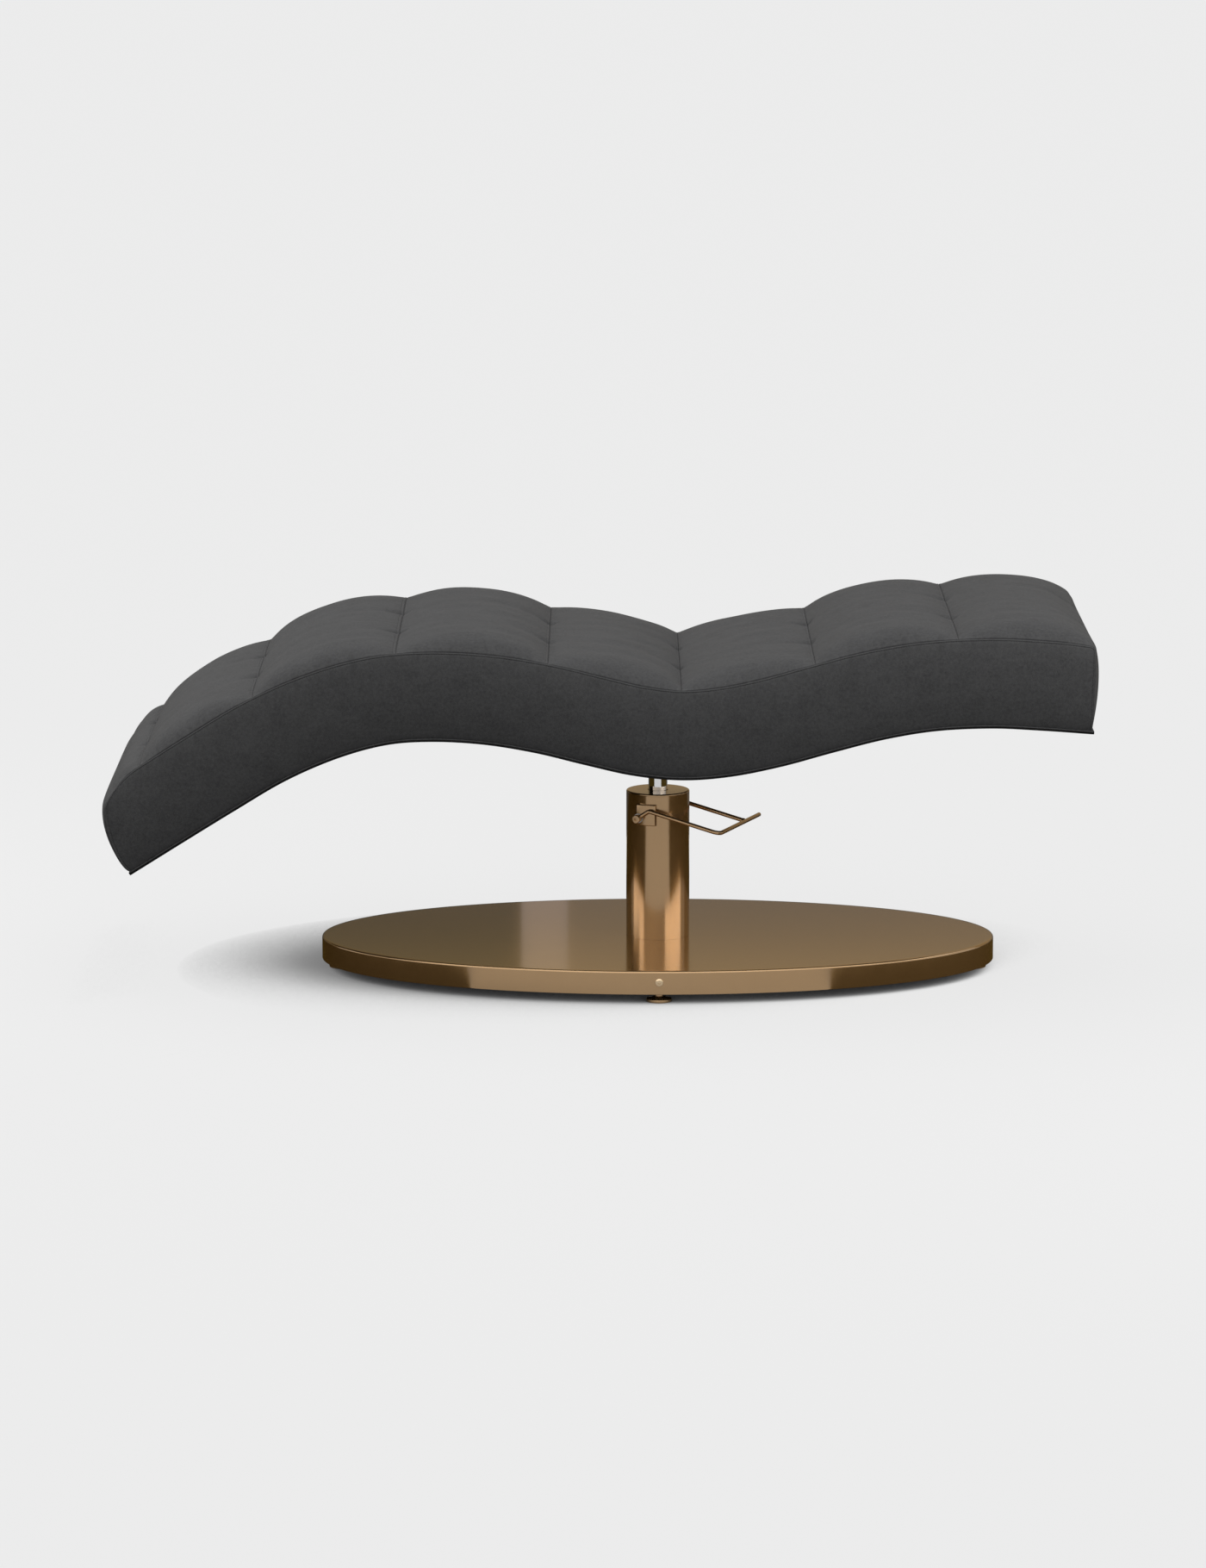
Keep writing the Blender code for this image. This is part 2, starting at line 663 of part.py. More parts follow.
def make_board(shop, line):
    """The bent board that closes the underside and shows as a thin dark lip."""
    half_width = BED_WIDTH / 2 - BOARD_INSET
    mesh = wave_block("bottom_board", line, -BOARD_LIP, line.length + BOARD_LIP, half_width, 0,
                      BOARD_THICKNESS)
    shop.add("bottom_board", mesh, "board")


def make_bed_frame(shop, line):
    """Two plywood ribs, the rails between them and the bent deck on top."""
    start, end = FOOT_FOAM, line.length - HEAD_FOAM
    rib_low, rib_high = BED_BODY_BOTTOM, BED_BODY_BOTTOM + RIB_HEIGHT
    rib_middle = FRAME_WIDTH / 2 - RIB_THICKNESS / 2
    for name, side in (("side_rib_near", -1), ("side_rib_far", 1)):
        mesh = wave_block(name, line, start, end, RIB_THICKNESS / 2, rib_low, rib_high, side * rib_middle)
        shop.add(name, mesh, "plywood")
    rail_half = FRAME_WIDTH / 2 - RIB_THICKNESS - GAP
    for number, share in enumerate(RAIL_SHARES, 1):
        middle = start + (end - start) * share
        name = f"cross_rail_{number}"
        mesh = wave_block(name, line, middle - RAIL_THICKNESS / 2, middle + RAIL_THICKNESS / 2, rail_half,
                          rib_low, rib_low + RAIL_HEIGHT)
        shop.add(name, mesh, "plywood")
    deck = wave_block("foam_deck", line, start, end, FRAME_WIDTH / 2, DECK_BOTTOM,
                      DECK_BOTTOM + DECK_THICKNESS)
    shop.add("foam_deck", deck, "plywood")


def oval_disc(bm, half_length, half_width, height, filled):
    """An oval ring of vertices at a height, filled or open, and its vertices."""
    made = bmesh.ops.create_circle(bm, cap_ends=filled, segments=OVAL_SIDES, radius=1)
    bmesh.ops.scale(bm, vec=(half_length, half_width, 1), verts=made["verts"])
    bmesh.ops.translate(bm, vec=(COLUMN_X, 0, height), verts=made["verts"])
    return made["verts"]


def ring_edges(verts):
    """The edges that join vertices of a set."""
    chosen = set(verts)
    return [edge for edge in {e for vert in verts for e in vert.link_edges} if set(edge.verts) <= chosen]


def foot_places():
    """The name and the place of each levelling foot."""
    long_reach = BASE_HALF_LENGTH - FOOT_SET_IN
    short_reach = BASE_HALF_WIDTH - FOOT_SET_IN
    return (
        ("front", Vector((COLUMN_X, -short_reach, 0))),
        ("back", Vector((COLUMN_X, short_reach, 0))),
        ("left", Vector((COLUMN_X - long_reach, 0, 0))),
        ("right", Vector((COLUMN_X + long_reach, 0, 0))),
    )


def flange_bolt_places():
    """The place of each bolt on the pump's flange."""
    for number in range(FLANGE_BOLTS):
        angle = math.tau * (number + 0.5) / FLANGE_BOLTS
        yield Vector((COLUMN_X + FLANGE_BOLT_REACH * math.cos(angle), FLANGE_BOLT_REACH * math.sin(angle), 0))


def rim_screw_places():
    """The name, side and rim point of the screws that hold the cover, level with their brackets' middle."""
    height = (BRACKET_BOTTOM + BRACKET_TOP) / 2
    return (
        ("front", -1, Vector((COLUMN_X, -BASE_HALF_WIDTH, height))),
        ("back", 1, Vector((COLUMN_X, BASE_HALF_WIDTH, height))),
    )


def outward_y(side):
    """The rotation that carries +Z to +Y (1) or -Y (-1)."""
    return Matrix.Rotation(-side * math.pi / 2, 4, "X")


def make_base_cover(shop):
    """The oval shell: a rounded top with a hole for the pump, and an open bottom."""
    bm = bmesh.new()
    rim = oval_disc(bm, BASE_HALF_LENGTH, BASE_HALF_WIDTH, COVER_TOP, filled=False)
    hole = oval_disc(bm, COVER_HOLE / 2, COVER_HOLE / 2, COVER_TOP, filled=False)
    # The pump passes through a hole that the column's wall covers
    bmesh.ops.bridge_loops(bm, edges=ring_edges(rim) + ring_edges(hole))
    wall = bmesh.ops.extrude_edge_only(bm, edges=ring_edges(rim))
    lower = [item for item in wall["geom"] if isinstance(item, bmesh.types.BMVert)]
    bmesh.ops.translate(bm, vec=(0, 0, -BASE_RIM), verts=lower)
    bmesh.ops.recalc_face_normals(bm, faces=bm.faces)
    if sum(face.normal.z for face in bm.faces) < 0:
        bmesh.ops.reverse_faces(bm, faces=bm.faces)
    mesh = bpy.data.meshes.new("base_cover")
    bm.to_mesh(mesh)
    bm.free()
    cover = shop.add("base_cover", mesh, "bronze")
    bevel(cover, COVER_EDGE, 3)
    shell = cover.modifiers.new("shell", "SOLIDIFY")
    shell.thickness = COVER_WALL
    shell.offset = -1
    for name, side, point in rim_screw_places():
        reach = COVER_WALL + 2 * OVERRUN
        place = Matrix.Translation(point) @ outward_y(side) @ shifted(0, 0, OVERRUN - reach)
        hole_mesh = cylinder_mesh(f"cover_hole_{name}", RIM_SCREW / 2 + GAP, reach, BOLT_SIDES, place)
        boolean(cover, shop.add_cutter(f"cover_hole_{name}", hole_mesh), "DIFFERENCE")


def make_base_plate(shop):
    """The steel plate inside the base, drilled for the feet and the pump's bolts."""
    inset = COVER_WALL + 2 * GAP
    bm = bmesh.new()
    oval_disc(bm, BASE_HALF_LENGTH - inset, BASE_HALF_WIDTH - inset, PLATE_BOTTOM, filled=True)
    made = bmesh.ops.extrude_face_region(bm, geom=bm.faces[:])
    upper = [item for item in made["geom"] if isinstance(item, bmesh.types.BMVert)]
    bmesh.ops.translate(bm, vec=(0, 0, PLATE_THICKNESS), verts=upper)
    plate = shop.add("base_plate", to_mesh(bm, "base_plate"), "black_steel")
    depth = PLATE_THICKNESS + 2 * OVERRUN
    holes = [(f"plate_hole_{name}", point, FOOT_STEM / 2 + GAP) for name, point in foot_places()]
    for number, point in enumerate(flange_bolt_places(), 1):
        holes.append((f"plate_bolt_hole_{number}", point, FLANGE_BOLT / 2 + GAP))
    for name, point, radius in holes:
        mesh = cylinder_mesh(name, radius, depth, BOLT_SIDES)
        place = shifted(point.x, point.y, PLATE_BOTTOM - OVERRUN)
        boolean(plate, shop.add_cutter(name, mesh, place), "DIFFERENCE")


def make_rim_fixing(shop):
    """The brackets behind the rim, and the button-head screws through it."""
    left, right = COLUMN_X - BRACKET_WIDTH / 2, COLUMN_X + BRACKET_WIDTH / 2
    wall = BASE_HALF_WIDTH - COVER_WALL - 2 * GAP
    back = wall - BRACKET_THICKNESS
    for name, side, point in rim_screw_places():
        turn = Matrix.Diagonal((side, side, 1, 1))
        turn.translation.x = COLUMN_X * (1 - side)
        upright = box_mesh(f"rim_bracket_{name}", (left, back, BRACKET_BOTTOM), (right, wall, BRACKET_TOP),
                           turn)
        foot = box_mesh(f"rim_bracket_foot_{name}", (left, wall - BRACKET_FOOT, BRACKET_BOTTOM),
                        (right, wall - BRACKET_THICKNESS / 2, BRACKET_BOTTOM + BRACKET_THICKNESS), turn)
        bracket = shop.add(f"rim_bracket_{name}", upright, "steel")
        boolean(bracket, shop.add_cutter(f"rim_bracket_foot_{name}", foot), "UNION")
        place = Matrix.Translation(point) @ outward_y(side)
        reach = BRACKET_THICKNESS + COVER_WALL + 4 * OVERRUN
        hole = cylinder_mesh(f"rim_bracket_hole_{name}", RIM_SCREW / 2 + GAP, reach, BOLT_SIDES,
                             place @ shifted(0, 0, OVERRUN - reach))
        boolean(bracket, shop.add_cutter(f"rim_bracket_hole_{name}", hole), "DIFFERENCE")
        button_screw(shop, f"cover_screw_{name}", place)


def button_screw(shop, name, place):
    """A button-head screw whose head rests on the origin's plane, with a hexagonal socket."""
    head, shank = RIM_SCREW_HEAD / 2, RIM_SCREW / 2
    profile = [
        (0, GAP + RIM_SCREW_HEAD_HEIGHT),
        *((head * out, GAP + RIM_SCREW_HEAD_HEIGHT * up) for out, up in BUTTON_SHARES),
        (head, GAP), (shank, GAP), (shank, -RIM_SCREW_LENGTH), (0, -RIM_SCREW_LENGTH),
    ]
    screw = turned(shop, name, profile, "bronze", ROD_SIDES, place=place)
    socket = cylinder_mesh(f"{name}_socket", RIM_SCREW_SOCKET / 2, RIM_SCREW_HEAD_HEIGHT, HEX_SIDES,
                           place @ shifted(0, 0, GAP + RIM_SCREW_HEAD_HEIGHT * BUTTON_FLOOR_SHARE))
    boolean(screw, shop.add_cutter(f"{name}_socket", socket), "DIFFERENCE")


def make_feet(shop):
    """The levelling feet: a pad, a collar that stops under the nut, and a stem through the plate."""
    pad, collar, stem = FOOT_PAD / 2, FOOT_COLLAR / 2, FOOT_STEM / 2
    for name, point in foot_places():
        profile = [
            (0, FOOT_STEM_TOP), (stem - HEAD_CHAMFER, FOOT_STEM_TOP), (stem, FOOT_STEM_TOP - HEAD_CHAMFER),
            (stem, NUT_BOTTOM - GAP), (collar, NUT_BOTTOM - GAP), (collar, FOOT_PAD_HEIGHT),
            (pad - 2 * FOOT_PAD_EDGE, FOOT_PAD_HEIGHT), (pad, FOOT_PAD_HEIGHT - FOOT_PAD_EDGE),
            (pad, FOOT_PAD_EDGE), (pad - FOOT_PAD_EDGE, 0), (0, 0),
        ]
        turned(shop, f"foot_{name}", profile, "bronze", ROD_SIDES, place=shifted(point.x, point.y, 0))


def make_foot_nuts(shop):
    """The nuts that lock the levelling feet under the plate."""
    for name, point in foot_places():
        node = f"foot_nut_{name}"
        mesh = cylinder_mesh(node, FOOT_NUT / math.sqrt(3), FOOT_NUT_HEIGHT, HEX_SIDES)
        nut = shop.add(node, mesh, "steel", shifted(point.x, point.y, NUT_BOTTOM))
        depth = FOOT_NUT_HEIGHT + 2 * OVERRUN
        bore = cylinder_mesh(f"foot_nut_bore_{name}", FOOT_STEM / 2 + GAP, depth, BOLT_SIDES)
        place = shifted(point.x, point.y, NUT_BOTTOM - OVERRUN)
        boolean(nut, shop.add_cutter(f"foot_nut_bore_{name}", bore, place), "DIFFERENCE")


def hex_bolt(shop, name, finish, thread, head_width, head_height, length, place):
    """A hexagon bolt: its head stands on the origin's plane and its shank runs down from there."""
    head = cylinder_mesh(name, head_width / math.sqrt(3), head_height, HEX_SIDES, place)
    bolt = shop.add(name, head, finish)
    shank = cylinder_mesh(f"{name}_shank", thread / 2, length + head_height / 2, BOLT_SIDES,
                          place @ shifted(0, 0, -length))
    boolean(bolt, shop.add_cutter(f"{name}_shank", shank), "UNION")


def make_pump(shop):
    """The pump's flange and bolts, its reservoir, cylinder, head and seal."""
    axis = shifted(COLUMN_X, 0, 0)
    profile = [
        (0, FLANGE_TOP), (FLANGE_RADIUS, FLANGE_TOP), (FLANGE_RADIUS, FLANGE_BOTTOM), (0, FLANGE_BOTTOM),
    ]
    flange = turned(shop, "pump_flange", profile, "steel", INNER_SIDES, place=axis)
    for number, point in enumerate(flange_bolt_places(), 1):
        name = f"flange_bolt_hole_{number}"
        drill = cylinder_mesh(name, FLANGE_BOLT / 2 + GAP, FLANGE_THICKNESS + 2 * OVERRUN, BOLT_SIDES)
        place = shifted(point.x, point.y, FLANGE_BOTTOM - OVERRUN)
        boolean(flange, shop.add_cutter(name, drill, place), "DIFFERENCE")
        place = shifted(point.x, point.y, FLANGE_TOP + GAP)
        hex_bolt(shop, f"flange_bolt_{number}", "steel", FLANGE_BOLT, FLANGE_BOLT_HEAD,
                 FLANGE_BOLT_HEAD_HEIGHT, FLANGE_THICKNESS + PLATE_THICKNESS, place)
    foot, top = FLANGE_TOP + GAP, HEAD_BOTTOM - GAP
    tube(shop, "pump_reservoir", RESERVOIR_RADIUS, RESERVOIR_RADIUS - RESERVOIR_WALL, foot, top, "steel",
         place=axis)
    tube(shop, "pump_cylinder", CYLINDER_BORE + CYLINDER_WALL, CYLINDER_BORE, foot, top, "steel", place=axis)
    make_pump_head(shop, axis)


def make_pump_head(shop, axis):
    """The head: guides the ram, holds its seal, and is pocketed for the cam, plunger and spring."""
    rod = RAM_RADIUS + RUN_GAP
    ledge = HEAD_TOP - SEAL_HEIGHT - GAP
    profile = [
        (HEAD_RADIUS, HEAD_TOP), (HEAD_RADIUS, HEAD_BOTTOM), (rod, HEAD_BOTTOM), (rod, ledge),
        (SEAL_RADIUS + GAP, ledge), (SEAL_RADIUS + GAP, HEAD_TOP),
    ]
    head = turned(shop, "pump_head", profile, "steel", INNER_SIDES, closed=True, place=axis)
    tube(shop, "piston_seal", SEAL_RADIUS, rod, ledge + GAP, HEAD_TOP, "rubber", place=axis)
    turn = axis @ Matrix.Rotation(-LEVER_YAW, 4, "Z")
    left = PIVOT_ALONG - CAM_HUB / 2 - POCKET_ROOM
    right = PIVOT_ALONG + CAM_REACH + CAM_NOSE / 2 + POCKET_ROOM
    pocket = box_mesh("head_pocket", (left, -HEAD_RADIUS - OVERRUN, POCKET_FLOOR),
                      (right, -POCKET_BACK, PIVOT_Z + CAM_HUB / 2 + POCKET_RISE), turn)
    boolean(head, shop.add_cutter("head_pocket", pocket), "DIFFERENCE")
    hole = cylinder_mesh("head_pivot_far", PIVOT_BOLT / 2 + RUN_GAP, HEAD_RADIUS, BOLT_SIDES,
                         lever_frame(SHAFT_END - GAP, -1))
    boolean(head, shop.add_cutter("head_pivot_far", hole), "DIFFERENCE")
    spot = plunger_point()
    depth = PLUNGER_GUIDE + PLUNGER_STROKE
    bore = cylinder_mesh("plunger_bore", PLUNGER_STEM / 2 + RUN_GAP, depth + OVERRUN, BOLT_SIDES)
    place = shifted(spot.x, spot.y, POCKET_FLOOR - depth)
    boolean(head, shop.add_cutter("plunger_bore", bore, place), "DIFFERENCE")


def plunger_point():
    """The plunger's axis beside the ram, under the cam's nose."""
    return column_point(PIVOT_ALONG + CAM_REACH, (CAM_BACK + CAM_FRONT) / 2)


def make_column(shop):
    """The bronze tube with its two windows for the lever's bosses, and its cap."""
    axis = shifted(COLUMN_X, 0, 0)
    column = tube(shop, "column_cover", COLUMN_RADIUS, COLUMN_INNER, COVER_TOP + GAP, COLUMN_TOP, "bronze",
                  TUBE_SIDES, axis)
    for name, side in (("near", 1), ("far", -1)):
        window = boss_box(f"column_window_{name}", side, GAP, COLUMN_RADIUS / 2, COLUMN_RADIUS + OVERRUN)
        boolean(column, shop.add_cutter(f"column_window_{name}", window), "DIFFERENCE")
    spigot, hole = COLUMN_INNER - GAP, RAM_RADIUS + CAP_HOLE_CLEARANCE
    low = CAP_TOP - CAP_THICKNESS
    profile = [
        (COLUMN_RADIUS - CAP_EDGE, CAP_TOP),
        (COLUMN_RADIUS - CAP_EDGE * ROUND_SHARE, CAP_TOP - CAP_EDGE * ROUND_SHARE),
        (COLUMN_RADIUS, CAP_TOP - CAP_EDGE), (COLUMN_RADIUS, low), (spigot, low), (spigot, low - CAP_SPIGOT),
        (spigot - CAP_SPIGOT_WALL, low - CAP_SPIGOT), (spigot - CAP_SPIGOT_WALL, low), (hole, low),
        (hole, CAP_TOP),
    ]
    turned(shop, "column_cap", profile, "bronze", TUBE_SIDES, closed=True, place=axis)


def boss_box(name, side, margin, back, front):
    """The box of a lever boss on the near (1) or far (-1) side, grown by a margin."""
    half_width, half_height = BOSS_WIDTH / 2 + margin, BOSS_HEIGHT / 2 + margin
    inner, outer = sorted((-side * back, -side * front))
    turn = shifted(COLUMN_X, 0, BOSS_Z) @ Matrix.Rotation(-LEVER_YAW, 4, "Z")
    return box_mesh(name, (-half_width, inner, -half_height), (half_width, outer, half_height), turn)


def make_bosses(shop):
    """The housings that carry the lever's pivot bolts through the column's wall, and their washers."""
    for name, side in (("near", 1), ("far", -1)):
        mesh = boss_box(f"lever_boss_{name}", side, 0, BOSS_BACK, BOSS_FRONT)
        boss = shop.add(f"lever_boss_{name}", mesh, "bronze")
        bevel(boss, HEAD_CHAMFER, 1)
        length = BOSS_DEPTH + 2 * OVERRUN
        hole = cylinder_mesh(f"boss_hole_{name}", PIVOT_BOLT / 2 + RUN_GAP, length, BOLT_SIDES,
                             lever_frame(BOSS_BACK - OVERRUN, side))
        boolean(boss, shop.add_cutter(f"boss_hole_{name}", hole), "DIFFERENCE")
        tube(shop, f"lever_washer_{name}", WASHER_DIAMETER / 2, PIVOT_BOLT / 2 + GAP, 0, WASHER_THICKNESS,
             "steel", ROD_SIDES, lever_frame(BOSS_FRONT + GAP, side))


def rounded_path(corners, radii):
    """The points of a path whose inner corners are rounded by arcs."""
    points = [corners[0]]
    for before, corner, after, radius in zip(corners, corners[1:], corners[2:], radii):
        one, two = (before - corner).normalized(), (after - corner).normalized()
        half = one.angle(two) / 2
        reach = radius / math.tan(half)
        middle = corner + (one + two).normalized() * (radius / math.sin(half))
        start, end = corner + one * reach - middle, corner + two * reach - middle
        sweep = start.angle(end)
        for step in range(BEND_STEPS + 1):
            t = step / BEND_STEPS
            blend = start * math.sin((1 - t) * sweep) + end * math.sin(t * sweep)
            points.append(middle + blend / math.sin(sweep))
    points.append(corners[-1])
    return points


def rod_object(shop, name, points, diameter, finish, resolution=3, radii=None):
    """A rod along a path: a curve with a round bevel and filled caps, made a mesh with its caps welded."""
    curve = bpy.data.curves.new(name, "CURVE")
    curve.dimensions = "3D"
    curve.bevel_depth = diameter / 2
    curve.bevel_resolution = resolution
    curve.use_fill_caps = True
    spline = curve.splines.new("POLY")
    spline.points.add(len(points) - 1)
    for index, point in enumerate(points):
        spline.points[index].co = (*point, 1)
        spline.points[index].radius = radii[index] if radii else 1.0
    rod = bpy.data.objects.new(f"{name}_path", curve)
    shop.cutters.objects.link(rod)
    bm = bmesh.new()
    bm.from_mesh(evaluated_mesh(rod))
    bmesh.ops.remove_doubles(bm, verts=bm.verts, dist=MERGE)
    return shop.add(name, to_mesh(bm, name), finish)


def arm_corners(side):
    """The pivot, elbow and far corner of the lever's arm on the near (1) or far (-1) side."""
    plane = ARM_PLANE * side
    return [
        column_point(PIVOT_ALONG, plane, PIVOT_Z),
        column_point(ELBOW_ALONG, plane, PIVOT_Z + ELBOW_RISE),
        column_point(CORNER_ALONG, plane, PIVOT_Z - CORNER_DROP),
    ]


def make_lever(shop):
    """The forked lever: a bent rod with its crossbar, a second arm and two pivot bolts."""
    tip = column_point(CORNER_ALONG, -BAR_TIP, PIVOT_Z - CORNER_DROP)
    path = rounded_path([*arm_corners(1), tip], (ELBOW_RADIUS, CORNER_RADIUS))
    toward = (tip - path[-2]).normalized()
    dome = [tip - toward * (LEVER_ROD / 2 * back) for back, _ in DOME_SHARES]
    radii = [1.0] * (len(path) - 1) + [share for _, share in DOME_SHARES]
    bar = rod_object(shop, "lever_bar", [*path[:-1], *dome], LEVER_ROD, "bronze", radii=radii)
    pivot, elbow, corner = arm_corners(-1)
    weld = corner - (corner - elbow).normalized() * (LEVER_ROD / 2 + 2 * GAP)
    arm_path = rounded_path([pivot, elbow, weld], (ELBOW_RADIUS,))
    arm = rod_object(shop, "lever_far_arm", arm_path, LEVER_ROD, "bronze")
    for name, side, rod in (("near", 1, bar), ("far", -1, arm)):
        back = ARM_PLANE - EYE_THICKNESS / 2
        eye = cylinder_mesh(f"lever_eye_{name}", EYE_DIAMETER / 2, EYE_THICKNESS, ROD_SIDES,
                            lever_frame(back, side))
        boolean(rod, shop.add_cutter(f"lever_eye_{name}", eye), "UNION")
        drill = cylinder_mesh(f"lever_eye_hole_{name}", PIVOT_BOLT / 2 + GAP, LEVER_ROD + 2 * OVERRUN,
                              BOLT_SIDES, lever_frame(back - OVERRUN, side))
        boolean(rod, shop.add_cutter(f"lever_eye_hole_{name}", drill), "DIFFERENCE")
        pivot_bolt(shop, name, side)


def pivot_bolt(shop, name, side):
    """A pivot bolt: its head outside the lever's eye, its shank through the boss into the pump."""
    seat = ARM_PLANE + LEVER_ROD / 2 + GAP
    head, shank = PIVOT_HEAD / 2, PIVOT_BOLT / 2
    top = seat + PIVOT_HEAD_HEIGHT
    profile = [
        (0, top), (head - HEAD_CHAMFER, top), (head, top - HEAD_CHAMFER), (head, seat),
        (shank, seat), (shank, SHAFT_END), (0, SHAFT_END),
    ]
    bolt = turned(shop, f"lever_bolt_{name}", profile, "bronze", ROD_SIDES, place=lever_frame(0, side))
    socket = cylinder_mesh(f"lever_bolt_socket_{name}", PIVOT_SOCKET / 2, SOCKET_DEPTH + OVERRUN, HEX_SIDES,
                           lever_frame(top - SOCKET_DEPTH, side))
    boolean(bolt, shop.add_cutter(f"lever_bolt_socket_{name}", socket), "DIFFERENCE")


def make_cam(shop):
    """The cam on the near pivot bolt, whose nose stands over the plunger."""
    frame = lever_frame(CAM_BACK, 1)
    hub = cylinder_mesh("pump_cam", CAM_HUB / 2, CAM_THICKNESS, ROD_SIDES, frame)
    cam = shop.add("pump_cam", hub, "steel")
    nose = cylinder_mesh("cam_nose", CAM_NOSE / 2, CAM_THICKNESS, ROD_SIDES, frame @ shifted(CAM_REACH, 0, 0))
    boolean(cam, shop.add_cutter("cam_nose", nose), "UNION")
    web_half, side = CAM_NOSE / 2 * CAM_WEB_SHARE, CAM_THICKNESS * CAM_RELIEF_SHARE
    web = box_mesh("cam_web", (0, -web_half, side), (CAM_REACH, web_half, CAM_THICKNESS - side), frame)
    boolean(cam, shop.add_cutter("cam_web", web), "UNION")
    bore = cylinder_mesh("cam_bore", PIVOT_BOLT / 2 + GAP, CAM_THICKNESS + 2 * OVERRUN, BOLT_SIDES,
                         lever_frame(CAM_BACK - OVERRUN, 1))
    boolean(cam, shop.add_cutter("cam_bore", bore), "DIFFERENCE")


def make_plunger(shop):
    """The plunger under the cam's nose, and its return spring."""
    spot = plunger_point()
    stem = PLUNGER_STEM / 2
    top, bottom = PIVOT_Z - CAM_NOSE / 2 - GAP, POCKET_FLOOR - PLUNGER_GUIDE
    neck = top - PLUNGER_HEAD_HEIGHT
    profile = [(0, top), (PLUNGER_HEAD, top), (PLUNGER_HEAD, neck), (stem, neck), (stem, bottom), (0, bottom)]
    turned(shop, "pump_plunger", profile, "steel", ROD_SIDES, place=shifted(spot.x, spot.y, 0))
    make_spring(shop, spot, POCKET_FLOOR + GAP, neck - GAP)


def make_spring(shop, spot, bottom, top):
    """The compression spring round the plunger, a wire wound between its seat and the plunger's head."""
    low, high = bottom + SPRING_WIRE / 2, top - SPRING_WIRE / 2
    count = SPRING_TURNS * SPRING_TURN_POINTS
    points = []
    for index in range(count + 1):
        angle = math.tau * index / SPRING_TURN_POINTS
        around = Vector((math.cos(angle), math.sin(angle), 0)) * SPRING_RADIUS
        points.append(spot + around + Vector((0, 0, low + (high - low) * index / count)))
    rod_object(shop, "plunger_spring", points, SPRING_WIRE, "steel", resolution=1)
    pitch = (high - low) / SPRING_TURNS
    print(f"plunger_spring least gap to itself {(pitch - SPRING_WIRE) * 1000:.2f} mm")


def make_ram(shop):
    """The chrome ram with its reduced top, and the guide ring at its foot."""
    axis = shifted(COLUMN_X, 0, 0)
    guide_top = RAM_BOTTOM + GUIDE_HEIGHT
    profile = [
        (0, RAM_TOP), (RAM_SPIGOT - RAM_EDGE, RAM_TOP), (RAM_SPIGOT, RAM_TOP - RAM_EDGE),
        (RAM_SPIGOT, RAM_SHOULDER), (RAM_RADIUS, RAM_SHOULDER),
        (RAM_RADIUS, guide_top + GAP), (GUIDE_STEM, guide_top + GAP),
        (GUIDE_STEM, RAM_BOTTOM), (0, RAM_BOTTOM),
    ]
    turned(shop, "lift_piston", profile, "chrome", TUBE_SIDES, place=axis)
    tube(shop, "piston_guide", CYLINDER_BORE - RUN_GAP, GUIDE_STEM + GAP, RAM_BOTTOM, guide_top,
         "bearing_bronze", place=axis)


def make_thrust_washer(shop):
    """The washer on the ram's shoulder that the hub turns on."""
    bottom = RAM_SHOULDER + GAP
    tube(shop, "swivel_washer", HUB_RADIUS, RAM_SPIGOT + RUN_GAP, bottom, bottom + SWIVEL_WASHER_THICKNESS,
         "bearing_bronze", place=shifted(COLUMN_X, 0, 0))


def make_hub(shop):
    """The hub that turns on the ram's spigot, with the flange that the seat plate is welded to."""
    bore, bore_top = RAM_SPIGOT + RUN_GAP, RAM_TOP + GAP
    flange = HUB_FLANGE / 2
    profile = [
        (0, HUB_TOP), (flange, HUB_TOP), (flange, HUB_TOP - HUB_FLANGE_THICKNESS),
        (HUB_RADIUS, HUB_TOP - HUB_FLANGE_THICKNESS), (HUB_RADIUS, HUB_BOTTOM), (bore, HUB_BOTTOM),
        (bore, bore_top), (0, bore_top),
    ]
    turned(shop, "swivel_hub", profile, "black_steel", INNER_SIDES, place=shifted(COLUMN_X, 0, 0))


def seat_bolt_places():
    """The place of each bolt through the seat plate."""
    reach_x = SEAT_PLATE_LENGTH / 2 - SEAT_BOLT_EDGE
    reach_y = SEAT_PLATE_WIDTH / 2 - SEAT_BOLT_EDGE
    return [Vector((SEAT_X + x * reach_x, y * reach_y, 0)) for x in (-1, 1) for y in (-1, 1)]


